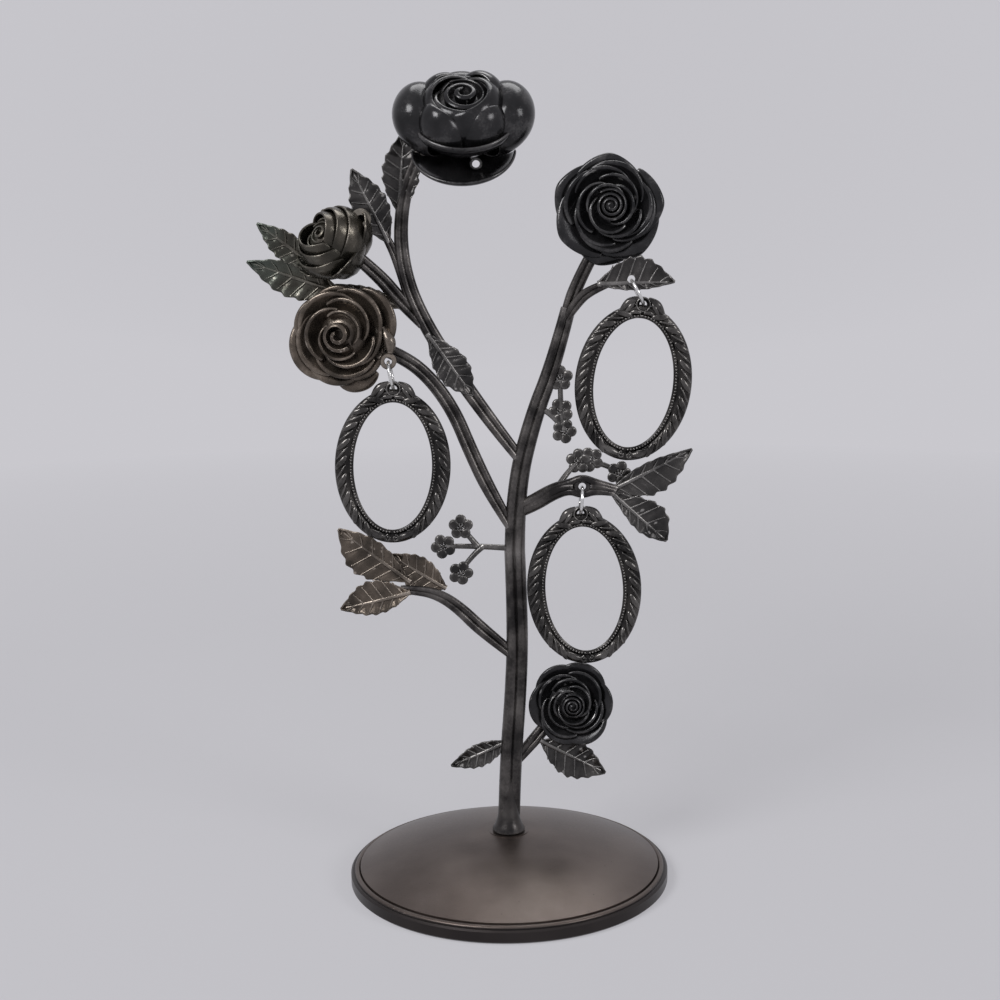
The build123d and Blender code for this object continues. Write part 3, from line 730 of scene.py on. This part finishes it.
blossomForm = {"petals": 5, "ring": 2.15, "petal": 1.7, "thick": 0.72, "flat": 0.14, "lift": 0.15,
               "bead": 0.62, "seeds": 6, "seed": 0.24, "seedRing": 1.05, "beadFront": 0.55,  # mm
               "flatShare": 0.5, "waistShare": 0.4, "waist": (1, 0.55, 0.8),
               "spin": 25, "spread": (0.15, 0.12)}  # how each flower is turned from the one before
stalkRadii = [0.95, 0.85, 0.75]
sprays = {
    "blossom_spray_left": {
        "flowers": [(-0.054, 0, 0.456), (-0.076, 0, 0.432), (-0.055, -0.12, 0.399)],
        "stalks": [[(0.012, 0, 0.428), (-0.03, 0, 0.432), (-0.072, 0, 0.432)],
                   [(-0.034, 0, 0.432), (-0.044, 0, 0.444), (-0.052, 0, 0.454)],
                   [(-0.026, 0, 0.432), (-0.042, -0.02, 0.42), (-0.054, -0.05, 0.401)]],
    },
    "blossom_spray_high": {
        "flowers": [(0.07, 0, 0.638), (0.07, 0, 0.598), (0.074, 0, 0.573)],
        "stalks": [[(0.04, 0, 0.604), (0.058, 0, 0.598), (0.073, 0, 0.575)],
                   [(0.074, 0, 0.575), (0.069, 0, 0.602), (0.07, 0, 0.638)]],
    },
    "blossom_spray_right": {
        "flowers": [(0.091, -0.25, 0.537), (0.106, -0.25, 0.539), (0.14, -0.25, 0.522)],
        "stalks": [[(0.066, -0.62, 0.509), (0.078, -0.3, 0.526), (0.091, -0.22, 0.536)],
                   [(0.091, -0.22, 0.538), (0.122, -0.22, 0.536), (0.14, -0.22, 0.522)]],
    },
}


def makeBlossom(name):
    # one flower that faces +Z: cupped petals round a bead with a few seeds
    petal = blossomForm["petal"] * mm
    first = started(name, bpy.ops.mesh.primitive_uv_sphere_add, segments=16, ring_count=10, radius=petal)
    stretch((1, 1, blossomForm["thick"] / blossomForm["petal"]))
    verts = first.data.vertices
    pick(first, [v.index for v in verts if v.co.xy.length < blossomForm["flatShare"] * petal and v.co.z > 0])
    slide(0, 0, -blossomForm["flat"] * mm)
    pick(first, [v.index for v in verts if v.co.x < -blossomForm["waistShare"] * petal])
    stretch(blossomForm["waist"])  # narrow the petal towards the bead
    pickAll()
    slide(blossomForm["ring"] * mm, 0, blossomForm["lift"] * mm)
    pieces = [first]
    for index in range(1, blossomForm["petals"]):
        twin = copied(first, name + "_petal")
        twin.rotation_euler.z = math.radians(90 + index * 360 / blossomForm["petals"])
        pieces.append(twin)
    first.rotation_euler.z = math.radians(90)
    ball = bpy.ops.mesh.primitive_ico_sphere_add
    front = blossomForm["beadFront"]
    pieces.append(started(name, ball, subdivisions=3, radius=blossomForm["bead"] * mm,
                          location=(0, 0, front * mm)))
    for index in range(blossomForm["seeds"]):
        angle = math.tau * index / blossomForm["seeds"]
        reach = blossomForm["seedRing"]
        pieces.append(started(name, ball, subdivisions=2, radius=blossomForm["seed"] * mm,
                              location=mmPlace(reach * math.cos(angle), reach * math.sin(angle), front)))
    flower = joined(name, pieces)
    bpy.ops.object.shade_smooth()
    return applied(flower)


def makeSpray(name, rows):
    model = makeBlossom(name + "_flower")
    pieces = []
    for number, row in enumerate(rows["flowers"]):
        flower = copied(model, name + "_flower")
        spin = Matrix.Rotation(math.radians(blossomForm["spin"] * number), 4, "Z")
        flower.matrix_world = spin @ flower.matrix_world
        aside, up = blossomForm["spread"]
        tilt = (aside * (number - 1), -1, up * (1 - number))
        pieces.append(settled(flower, spot(*row), (1, 0, 0), tilt))
    bpy.data.objects.remove(model)
    for route in rows["stalks"]:
        pieces.append(strand(name + "_stalk", [spot(*row) for row in route], stalkRadii))
    return joined(name + "_cluster", pieces)


for name, rows in sprays.items():
    dressed(makeSpray(name, rows), name)
print("sprays made:", len(sprays))

# Oval frames

ovalForm = {
    "segments": 96,
    "loops": [  # half width, half height, distance in front of the middle, mm
        (16.4, 22.2, -1.7), (17, 22.8, -1.2), (17.1, 22.9, -0.2), (16.7, 22.5, 0.55),
        (15.6, 21.7, 0.95), (14.4, 21, 0.75), (13.6, 20.5, 0.1), (13.1, 20.3, -0.1),
        (12.8, 20.1, 0.1), (12.3, 19.6, 0.25), (11.8, 19.15, 0.1), (11.5, 18.85, -0.15), (11.5, 18.85, -0.3),
        (12.8, 20.15, -0.3), (12.8, 20.15, -1.7),
    ],
    "lobeRing": (15.05, 21.2, 0.68),
    "lobeHalf": (2.65, 0.98, 0.8),
    "lobeThin": (0.95, 0.5, 0.9),  # every other lobe, as shares of the first
    "lobeTip": (1, 0.62, 0.8),  # the lower end's size
    "lobeTipFrom": 0.55,
    "lobeSlant": 33,
    "lobeGap": 2.75,
    "crownRoom": 5.6,
    "rosetteRoom": 7.6,
    "beadRing": (12.3, 19.6, 0.35),
    "beadRadius": 0.34,
    "beads": 112,
    "beadRoom": 0.2,
    "halfHeight": 22.9,
    "lipRing": (12.55, 19.9, -1.15),
    "lipRadii": [0.3, 0.48, 0.48, 0.3],
    "lipSpread": (-0.09, -0.04, 0.04, 0.09),  # radians along the oval
}


def closedBand(name, loops):
    # a closed ring with the given outline sizes, drawn as one extruded loop after another
    half, high, front = loops[0]
    count = ovalForm["segments"]
    piece = started(name, bpy.ops.mesh.primitive_circle_add, vertices=count, radius=1)
    stretch((half * mm, high * mm, 1))
    slide(0, 0, front * mm)
    for nextHalf, nextHigh, nextFront in loops[1:]:
        bpy.ops.mesh.extrude_edges_move()
        stretch((nextHalf / half, nextHigh / high, 1))
        slide(0, 0, (nextFront - front) * mm)
        half, high, front = nextHalf, nextHigh, nextFront
    total = count * len(loops)
    pick(piece, [*range(count), *range(total - count, total)])
    bpy.ops.mesh.bridge_edge_loops()
    finished()
    return piece


def ovalPoint(half, high, angle):
    # angle in radians from the top, clockwise; gives the point and the clockwise direction
    point = Vector((half * math.sin(angle), high * math.cos(angle), 0))
    along = Vector((half * math.cos(angle), -high * math.sin(angle), 0)).normalized()
    return point, along


def ovalPerimeter(half, high):
    return math.pi * (3 * (half + high) - math.sqrt((3 * half + high) * (half + 3 * high)))


def evenAngles(half, high, gap, startRoom, endRoom):
    # angles from the top to the bottom that are one gap apart along the oval
    angles = []
    wanted = startRoom
    steps = 2000
    previous = ovalPoint(half, high, 0)[0]
    total = 0
    lengths = []
    for step in range(1, steps + 1):
        point = ovalPoint(half, high, math.pi * step / steps)[0]
        total += (point - previous).length
        lengths.append(total)
        previous = point
    for step, travelled in enumerate(lengths, 1):
        if travelled >= wanted and travelled <= total - endRoom:
            angles.append(math.pi * step / steps)
            wanted += gap
    return angles


def makeLobe(name):
    # one lobe of the rope: a plump seed, sharper towards its lower end
    lobe = started(name, bpy.ops.mesh.primitive_uv_sphere_add, segments=14, ring_count=10, radius=1)
    turn(90, "Y")
    longHalf, wideHalf, tallHalf = ovalForm["lobeHalf"]
    stretch((longHalf * mm, wideHalf * mm, tallHalf * mm))
    pick(lobe, [v.index for v in lobe.data.vertices if v.co.x > ovalForm["lobeTipFrom"] * longHalf * mm])
    stretch(ovalForm["lobeTip"])
    bpy.ops.object.mode_set(mode="OBJECT")
    bpy.ops.object.shade_smooth()
    return lobe


crownScrolls = [
    # x, y and distance in front of the middle in mm, then the radii
    ([(6.3, 20.3, 0.3), (5, 22.4, 0.4), (3.3, 23.9, 0.4), (1.3, 24.5, 0.3)], [0.5, 1.15, 1.15, 0.7]),
    ([(5, 19.9, 0.6), (3.9, 21.6, 0.7), (3, 22.8, 0.7), (2.4, 23.7, 0.5)], [0.4, 0.85, 0.8, 0.4]),
    ([(3.6, 20, 0.6), (2.6, 20.6, 0.8), (1.6, 20.7, 0.8), (0.5, 20.6, 0.7)], [0.4, 0.7, 0.7, 0.5]),
]
rosetteForm = {"low": -21.15, "curl": 1.05, "turns": 1.15, "wire": 0.36, "reach": (0.1, 0.22, 0.36, 0.52),
               "steps": 11, "shrink": 0.75, "front": 1.25, "lobeRadii": [0.5, 1.2, 1.1, 0.35]}


def makeCrown():
    # a collar with a pocket round the hanging hole, and a scroll on each side of it
    high = ovalForm["halfHeight"]
    rings = [(holeRadius, -0.6), (holeRadius, 0.6), (1.6, 0.6), (1.7, 1.15), (1.95, 1.4), (2.2, 1.05),
             (2.25, -1.2), (1.95, -1.45), (1.7, -1.3), (1.6, -0.6)]
    collar = closedBand("collar", [(radius, radius, front) for radius, front in rings])
    collar.location = (0, high * mm, 0)
    pieces = [collar]
    for sign in (-1, 1):  # scroll lobes that arch over the pocket
        for route, radii in crownScrolls:
            points = [mmPlace(x * sign, y, front) for x, y, front in route]
            pieces.append(strand("scroll", points, radii))
    crown = joined("crown", pieces)
    bpy.ops.object.shade_smooth()
    return applied(crown)


def makeRosette():
    # two curls at the foot of the oval, and a long leaf lobe on each side of them
    pieces = []
    half, high, front = ovalForm["lobeRing"]
    for sign in (-1, 1):
        curl = []
        for step in range(rosetteForm["steps"] + 1):
            share = step / rosetteForm["steps"]
            angle = math.radians(90 + 360 * rosetteForm["turns"] * share)
            reach = rosetteForm["curl"] * (1 - rosetteForm["shrink"] * share)
            curl.append(mmPlace(sign * (rosetteForm["curl"] - reach * math.cos(angle)),
                                rosetteForm["low"] + reach * math.sin(angle), rosetteForm["front"]))
        pieces.append(strand("curl", curl, [rosetteForm["wire"]] * len(curl)))
        side = []
        for away in rosetteForm["reach"]:
            point = ovalPoint(half, high, math.pi - away)[0]
            side.append(mmPlace(sign * point.x, point.y, front))
        pieces.append(strand("leaf_lobe", side, rosetteForm["lobeRadii"]))
    rosette = joined("rosette", pieces)
    bpy.ops.object.shade_smooth()
    return applied(rosette)


def makeOvalFrame():
    band = closedBand("photo_frame", ovalForm["loops"])
    soften = band.modifiers.new("soften", "SUBSURF")
    soften.levels = soften.render_levels = 1
    applyAll(band)
    pieces = [band, makeCrown(), makeRosette()]
    lobe = makeLobe("lobe")
    half, high, front = ovalForm["lobeRing"]
    places = evenAngles(half, high, ovalForm["lobeGap"], ovalForm["crownRoom"], ovalForm["rosetteRoom"])
    for number, angle in enumerate(places):
        for sign in (-1, 1):
            point, along = ovalPoint(half, high, angle)
            outward = Vector((-along.y, along.x, 0))
            slant = math.radians(ovalForm["lobeSlant"])
            axis = along * math.cos(slant) + outward * math.sin(slant)
            twin = copied(lobe, "lobe")
            twin.location = mmPlace(point.x * sign, point.y, front)
            twin.rotation_euler.z = math.atan2(axis.y, axis.x * sign)
            if number % 2:
                twin.scale = ovalForm["lobeThin"]
            pieces.append(twin)
    bpy.data.objects.remove(lobe)
    bead = started("bead", bpy.ops.mesh.primitive_ico_sphere_add, subdivisions=2,
                   radius=ovalForm["beadRadius"] * mm)
    alone(bead)
    bpy.ops.object.shade_smooth()
    half, high, front = ovalForm["beadRing"]
    room = ovalForm["beadRoom"]
    for angle in evenAngles(half, high, ovalPerimeter(half, high) / ovalForm["beads"], room, room):
        for sign in (-1, 1):
            point = ovalPoint(half, high, angle)[0]
            twin = copied(bead, "bead")
            twin.location = mmPlace(point.x * sign, point.y, front)
            pieces.append(twin)
    bpy.data.objects.remove(bead)
    half, high, front = ovalForm["lipRing"]
    for corner in (45, 135, 225, 315):  # small lips behind, which hold a picture in
        route = [ovalPoint(half, high, math.radians(corner) + away)[0] for away in ovalForm["lipSpread"]]
        pieces.append(strand("lip", [mmPlace(point.x, point.y, front) for point in route], ovalForm["lipRadii"]))
    return applied(joined("photo_frame", pieces))


# lean of each ring and of its frame, in degrees
leans = {"left": (10, -2), "right": (27, -7), "low": (-4, 2.5)}
ringForm = {"radius": 3.85, "wire": 0.5, "gap": 0.37, "inset": 0.06, "split": 7}  # mm, and degrees


def hangDown(lean):
    return Vector((math.sin(math.radians(lean)), 0, -math.cos(math.radians(lean))))


def makeRing(name):
    # a round wire bent into a ring with a butted split; the ring's axis is z
    ring = started(name, bpy.ops.mesh.primitive_circle_add, vertices=16, radius=ringForm["wire"] * mm,
                   fill_type="NGON")
    turn(90, "X")
    slide(ringForm["radius"] * mm, 0, 0)
    bpy.ops.mesh.inset(thickness=ringForm["inset"] * mm)
    pickAll()
    bpy.ops.mesh.spin(steps=64, angle=math.radians(360 - ringForm["split"]), center=(0, 0, 0), axis=(0, 0, 1))
    pickAll()
    bpy.ops.mesh.remove_doubles(threshold=1e-7)
    finished(40)
    return ring


ovalModel = makeOvalFrame()
for side, (ringLean, frameLean) in leans.items():
    play = (holeRadius - ringForm["wire"] - ringForm["gap"]) * mm
    pivot = spot(*holes[side]) - Vector((0, 0, play))
    reach = hangDown(ringLean) * ringForm["radius"] * mm
    ring = settled(makeRing("ring_wire_" + side), pivot + reach, hangDown(ringLean), hangDown(ringLean + 90))
    dressed(ring, "jump_ring_" + side, "ring_" + side)
    middle = pivot + 2 * reach + hangDown(frameLean) * (play + ovalForm["halfHeight"] * mm)
    photoFrame = copied(ovalModel, "photo_frame_" + side)
    settled(photoFrame, middle, hangDown(frameLean + 90), (0, -1, 0))
    dressed(photoFrame, "frame_" + side, "hung_frame_" + side)
bpy.data.objects.remove(ovalModel)
print("rings and frames made")

# Roses: petal rings round a rolled heart. A rose faces +Z, and its sizes are shares of its radius

roseForm = {
    "modelRadius": 15,  # mm
    "petalColumns": 10,
    "thickness": 0.95,
    "heartColumns": 60,
    "lean": 3, "swing": 6, "growth": 0.03,  # how far petals stray, in degrees and as a share
    "hearts": {
        # radii and heights at the first and the last turn, the number of turns and the thickness in mm
        "heart": ((0.035, 0.34), (0.54, 0.46), 3.1, 0.9),
        "wideHeart": ((0.05, 0.33), (0.62, 0.5), 1.55, 1.3),
        "cupHeart": ((0.05, 0.46), (0.92, 0.8), 2.1, 1.3),
    },
    "beds": {
        # radius and height from the back to the middle of the front: what the petals grow from
        "bed": [(0.12, -0.62), (0.22, -0.52), (0.38, -0.3), (0.6, -0.2), (0.7, -0.16), (0.7, -0.11),
                (0.6, -0.03), (0.5, 0.05), (0.38, 0.15), (0.1, 0.28)],
        "cupBed": [(0.12, -0.62), (0.22, -0.52), (0.4, -0.34), (0.6, -0.1), (0.66, 0.2), (0.62, 0.55),
                   (0.48, 0.68), (0.1, 0.76)],
    },
}
petalForms = {
    # half angle, (distance, height) from root to rim, how far the sides drop, how sharply, and the overlap
    "wrap": {"half": 84, "drop": 0.3, "power": 2.4, "swirl": 0.17,
             "profile": [(0.24, 0.02), (0.36, 0.12), (0.44, 0.22), (0.5, 0.36), (0.535, 0.49), (0.565, 0.5),
                         (0.59, 0.455)]},
    "cup": {"half": 68, "drop": 0.3, "power": 2.2, "swirl": 0.15,
            "profile": [(0.34, -0.06), (0.5, 0.09), (0.6, 0.17), (0.68, 0.25), (0.73, 0.345), (0.765, 0.355),
                        (0.79, 0.31)]},
    "open": {"half": 58, "drop": 0.3, "power": 2, "swirl": 0.12,
             "profile": [(0.44, -0.14), (0.62, 0.03), (0.74, 0.09), (0.83, 0.14), (0.885, 0.2), (0.925, 0.21),
                         (0.95, 0.165)]},
    "outer": {"half": 46, "drop": 0.34, "power": 2, "swirl": 0.06,
              "profile": [(0.48, -0.24), (0.68, -0.05), (0.8, 0.01), (0.9, 0.05), (0.97, 0.09), (1.02, 0.09),
                          (1.035, 0.04)]},
    "corner": {"half": 50, "drop": 0.31, "power": 0.95, "swirl": 0.05,
               "profile": [(0.48, -0.24), (0.68, -0.05), (0.8, 0), (0.9, 0.03), (1, 0.07), (1.07, 0.06),
                           (1.08, 0.01)]},
    "tongue": {"half": 24, "drop": 0.26, "power": 2.4, "swirl": 0,
               "profile": [(0.48, -0.26), (0.68, -0.12), (0.8, -0.1), (0.9, -0.08), (0.97, -0.06),
                           (1.02, -0.08), (1.03, -0.13)]},
    "globe": {"half": 98, "drop": 0.16, "power": 2.6, "swirl": 0.05,
              "profile": [(0.2, -0.16), (0.6, -0.06), (0.82, 0.16), (0.88, 0.4), (0.82, 0.66), (0.7, 0.86),
                          (0.6, 0.94), (0.54, 0.93)]},
    "brim": {"half": 45, "drop": 0.3, "power": 2.2, "swirl": 0.03,
             "profile": [(0.5, -0.14), (0.68, 0), (0.84, 0.17), (0.92, 0.39), (0.89, 0.61), (0.79, 0.76),
                         (0.69, 0.84), (0.59, 0.86)]},
    "collar": {"half": 96, "drop": 0.06, "power": 2, "swirl": 0.02,
               "profile": [(0.2, -0.3), (0.46, -0.24), (0.72, -0.06), (0.89, 0.1), (0.98, 0.22), (1.03, 0.31),
                           (1.02, 0.39)]},
    "side": {"half": 50, "drop": 0.44, "power": 2.6, "swirl": 0,
             "profile": [(0.3, -0.36), (0.84, -0.33), (1.18, -0.12), (1.35, 0.18), (1.33, 0.46), (1.16, 0.68),
                         (0.94, 0.76), (0.74, 0.7)]},
    "hanging": {"half": 78, "drop": 0.2, "power": 2.2, "swirl": 0,
                "profile": [(0.2, -0.4), (0.62, -0.5), (0.92, -0.48), (1.11, -0.4), (1.2, -0.31),
                            (1.22, -0.24)]},
    "budInner": {"half": 100, "drop": 0.22, "power": 2.4, "swirl": 0.04,
                 "profile": [(0.16, -0.5), (0.5, -0.3), (0.66, 0.05), (0.66, 0.4), (0.58, 0.66), (0.5, 0.8),
                             (0.47, 0.84)]},
    "budMiddle": {"half": 104, "drop": 0.3, "power": 2.2, "swirl": 0.04,
                  "profile": [(0.16, -0.56), (0.56, -0.46), (0.8, -0.14), (0.85, 0.2), (0.8, 0.46), (0.72, 0.62),
                              (0.68, 0.68)]},
    "budOuter": {"half": 100, "drop": 0.34, "power": 2, "swirl": 0.04,
                 "profile": [(0.16, -0.62), (0.6, -0.58), (0.88, -0.3), (0.99, 0.02), (1, 0.26), (0.94, 0.42),
                             (0.92, 0.48)]},
    "sepal": {"half": 44, "drop": 0.5, "power": 2, "swirl": 0, "saw": 0.05,
              "profile": [(0.12, -0.72), (0.6, -0.7), (0.96, -0.36), (1.08, -0.04), (1.12, 0.14), (1.18, 0.2)]},
}


def makePetal(name):
    form = petalForms[name]
    unit = roseForm["modelRadius"] * mm
    petal, byColumn, byRow = sheet(name, roseForm["petalColumns"], len(form["profile"]) - 1)
    for (y, row), (distance, height) in zip(byRow, form["profile"]):
        pick(petal, row)
        slide(0, distance * unit - y, height * unit)
    rootDistance, rootHeight = form["profile"][0]
    root = (0, rootDistance * unit, rootHeight * unit)
    for x, column in byColumn:
        length = 1 - form["drop"] * abs(x) ** form["power"]
        length *= 1 + form.get("saw", 0) * (-1) ** round(x * roseForm["petalColumns"] / 2)
        spread = 1 + form["swirl"] * x
        pick(petal, column)
        stretch((1, length, length), root)
        stretch((1, spread, 1))
        slide(-x, 0, 0)
        turn(x * form["half"])
    thicken(petal, roseForm["thickness"] * mm, 2)
    return petal


def makeHeart(name):
    # one long petal rolled up on itself, with its rim turned out
    radii, rises, turns, thickness = roseForm["hearts"][name]
    unit = roseForm["modelRadius"] * mm
    heart, byColumn, byRow = sheet(name, roseForm["heartColumns"], 4)
    rows = [(0, 0.3), (0, 0.7), (0.002, 0.9), (0.006, 0.98), (0.014, 1)]
    for (y, row), (out, share) in zip(byRow, rows):
        pick(heart, row)
        slide(0, out * unit - y, share * unit)
    for x, column in byColumn:
        share = (x + 1) / 2
        pick(heart, column)
        stretch((1, 1, rises[0] + share * (rises[1] - rises[0])))
        slide(-x, (radii[0] + share * (radii[1] - radii[0])) * unit, 0)
        turn(share * turns * 360)
    thicken(heart, thickness * mm, 2)
    return heart


bloomModels = {name: makePetal(name) for name in petalForms}
bloomModels.update({name: makeHeart(name) for name in roseForm["hearts"]})
bloomModels.update({name: turnedBody(name, profile, roseForm["modelRadius"])
                    for name, profile in roseForm["beds"].items()})
print("petals made:", len(bloomModels))

roses = {
    # centre, radius in mm, degrees that it faces up and left, then model, how many, first angle, size
    "rose_left": ((-0.189, -0.7, 0.697), 15, 0, 8, [
        ("bed", 1, 0, 1), ("wideHeart", 1, 30, 0.9), ("wrap", 2, 130, 0.8), ("cup", 3, 75, 0.86),
        ("open", 1, 30, 0.92), ("open", 1, 105, 0.95), ("open", 1, 178, 0.92), ("open", 1, 238, 0.84),
        ("open", 1, 310, 0.95), ("outer", 1, 0, 0.88), ("outer", 1, 60, 0.96), ("outer", 1, 108, 1.07),
        ("outer", 1, 150, 0.98), ("tongue", 1, 191, 1.1), ("outer", 1, 206, 0.94), ("outer", 1, 288, 1.09)]),
    "rose_right": ((0.129, -0.5, 0.8415), 15.6, 0, 0, [
        ("bed", 1, 0, 1), ("heart", 1, 0, 0.88), ("wrap", 3, 20, 0.76), ("cup", 3, 75, 0.76),
        ("open", 3, 130, 0.8), ("open", 4, 330, 0.88), ("corner", 1, 2, 0.9), ("corner", 1, 278, 0.95),
        ("corner", 1, 214, 0.99), ("corner", 1, 172, 1), ("corner", 1, 118, 0.98), ("corner", 1, 62, 0.96)]),
    "rose_low": ((0.081, 0.3, 0.225), 12.6, 8, 0, [
        ("bed", 1, 0, 1), ("heart", 1, 0, 0.9), ("wrap", 3, 50, 0.78), ("cup", 3, 100, 0.78),
        ("open", 4, 40, 0.86), ("outer", 6, 30, 1)]),
}


def makeRose(name, radius, rings, seed):
    chance = random.Random(seed)
    pieces = []
    for kind, count, first, size in rings:
        for index in range(count):
            petal = copied(bloomModels[kind], name + "_" + kind)
            lean, swing, growth = roseForm["lean"], roseForm["swing"], roseForm["growth"]
            tips = chance.uniform(-lean, lean), chance.uniform(-lean, lean)
            swung = first + index * 360 / count + chance.uniform(-swing, swing)
            petal.rotation_euler = [math.radians(degrees) for degrees in (*tips, swung)]
            petal.scale = Vector((1, 1, 1)) * size * chance.uniform(1 - growth, 1 + growth)
            pieces.append(petal)
    rose = applied(joined(name + "_bloom", pieces))
    rose.scale = Vector((1, 1, 1)) * radius / roseForm["modelRadius"]
    return applied(rose)


def faceFront(up, left):
    up, left = math.radians(up), math.radians(left)
    return Vector((-math.cos(up) * math.sin(left), -math.cos(up) * math.cos(left), math.sin(up)))


plateForm = {"bevel": 1.25, "front": 0.6, "rim": 0.3, "inner": 0.35}  # mm
earForm = {
    "outer": 3,  # mm
    "outers": {"rose_left_ear": 2.4, "rose_top_ear": 1.8},
    "web": ((2.2, 0), (4.5, 0.8), (8, 3.5)),  # mm from the hole towards the bloom, and back
    "webRadii": [1, 1.5, 1.4],
    "lobe": [(-1.6, 0.6, 9.5), (0.1, -0.2, 7), (0.9, -0.4, 4.4), (0.6, -0.1, 2.5)],  # from the hole
    "lobeRadii": [1, 1.9, 1.8, 0.9],
}


def makePlate(name, hole, outer):
    # the rounded plate with a hanging hole
    front, rim = plateForm["front"], plateForm["rim"]
    half = [(holeRadius, plateForm["inner"]), (plateForm["bevel"], front), (outer - rim, front), (outer, rim)]
    rings = [(radius, -front) for radius, front in half] + half[::-1]
    plate = closedBand(name + "_plate", [(radius, radius, front) for radius, front in rings])
    return settled(plate, spot(*hole), (1, 0, 0), (0, -1, 0))


def makeEar(name, hole, root):
    # the plate and the web that joins it to its bloom
    plate = makePlate(name, hole, earForm["outers"].get(name, earForm["outer"]))
    start = spot(*hole)
    along = (spot(*root) - start).normalized()
    route = [start + along * away * mm + mmPlace(0, sink, 0) for away, sink in earForm["web"]]
    web = strand(name + "_web", route, earForm["webRadii"])
    return joined(name, [plate, web])


for seed, (name, (centre, radius, up, left, rings)) in enumerate(roses.items(), 3):
    rose = makeRose(name, radius, rings, seed)
    settled(rose, spot(*centre), (1, 0, 0), faceFront(up, left))
    if name == "rose_left":
        hole = spot(*holes["left"])  # a petal lobe ends at the hanging hole
        lobe = strand(name + "_lobe", [hole + mmPlace(*away) for away in earForm["lobe"]], earForm["lobeRadii"])
        rose = joined(name + "_bloom", [rose, lobe, makeEar(name + "_ear", holes["left"], centre)])
    dressed(rose, name)

rightBranch = {
    "plate": 2.5,
    "strands": [
        ([(0.008, 0.14, 0.475), (0.036, -0.12, 0.49), (0.06, -0.55, 0.5065), (0.079, -0.92, 0.5135),
          (0.094, -1, 0.5213), (0.111, -1, 0.5135), (0.136, -0.85, 0.5065)],
         [1.2, 1.8, 1.6, 1.3, 1.05, 1.3, 0.9]),
        ([(0.01, 0.14, 0.467), (0.038, -0.12, 0.482), (0.06, -0.55, 0.4975), (0.079, -0.92, 0.5055),
          (0.094, -1, 0.4987), (0.111, -1, 0.5055), (0.132, -0.85, 0.5)],
         [1.2, 1.8, 1.6, 1.3, 1.05, 1.3, 0.9]),
        # the webs between them, on each side of the hole
        ([(0.01, 0.14, 0.471), (0.038, -0.12, 0.486), (0.06, -0.6, 0.502), (0.074, -0.9, 0.5095),
          (0.0835, -1, 0.51)], [1.2, 1.6, 1.6, 1.4, 1]),
        ([(0.1045, -1, 0.51), (0.115, -1, 0.5095), (0.134, -0.85, 0.503)], [1, 1.4, 0.9]),
    ],
}
branchStrands = [strand("branch_right_strand", [spot(*row) for row in rows], radii)
                 for rows, radii in rightBranch["strands"]]
branchPlate = makePlate("branch_right", holes["low"], rightBranch["plate"])
dressed(joined("branch_right_twin", [*branchStrands, branchPlate]), "branch_right")

# The top rose looks up: a deep cup in outer petals that hang open

topRose = {
    "centre": (-0.042, -0.5, 0.933),
    "radius": 15.4,
    "up": 46,
    "hanging": [("hanging", 1, 176, 1)],
    "seeds": (11, 12),
    "rings": [("cupBed", 1, 0, 1), ("cupHeart", 1, 0, 1), ("globe", 2, 150, 0.88), ("globe", 2, 245, 0.95),
              ("brim", 4, 45, 1), ("collar", 2, 0, 1), ("side", 1, 88, 1), ("side", 1, 272, 1),
              ("side", 1, 0, 0.86)],
}


def makeTopRose():
    centre, radius = spot(*topRose["centre"]), topRose["radius"]
    front = faceFront(topRose["up"], 0)
    seed, lowSeed = topRose["seeds"]
    rose = makeRose("rose_top", radius, topRose["rings"], seed)
    lowPetal = makeRose("rose_top_hanging", radius, topRose["hanging"], lowSeed)
    settled(rose, centre, (1, 0, 0), front)
    settled(lowPetal, centre, (1, 0, 0), front)
    drilled(lowPetal, holes["rose_top"])
    ear = makeEar("rose_top_ear", holes["rose_top"], topRose["centre"])
    return joined("rose_top_bloom", [rose, lowPetal, ear])


dressed(makeTopRose(), "rose_top")

# The bud: petals wrapped into a ball, with its tip turned up to the left

bud = {
    "centre": (-0.197, -0.25, 0.802),
    "radius": 11.3,
    "up": 28,
    "left": 42,
    "seed": 17,
    "rings": [("cupBed", 1, 0, 0.8), ("cupHeart", 1, 0, 0.8), ("budInner", 2, 125, 0.8),
              ("budInner", 2, 118, 1), ("budMiddle", 2, 124, 1), ("budOuter", 2, 118, 1), ("sepal", 4, 20, 1)],
}


def makeBud():
    rose = makeRose("rose_bud", bud["radius"], bud["rings"], bud["seed"])
    settled(rose, spot(*bud["centre"]), (1, 0, 0), faceFront(bud["up"], bud["left"]))
    ear = makeEar("rose_bud_ear", holes["rose_bud"], bud["centre"])
    return joined("rose_bud_bloom", [rose, ear])


dressed(makeBud(), "rose_bud")
for model in bloomModels.values():
    bpy.data.objects.remove(model)
print("blooms made")

# Everything that is still as the frame brought it keeps its shape and gets its finish

for name, node in frame["nodes"].items():
    painted(node, slotOf[name])
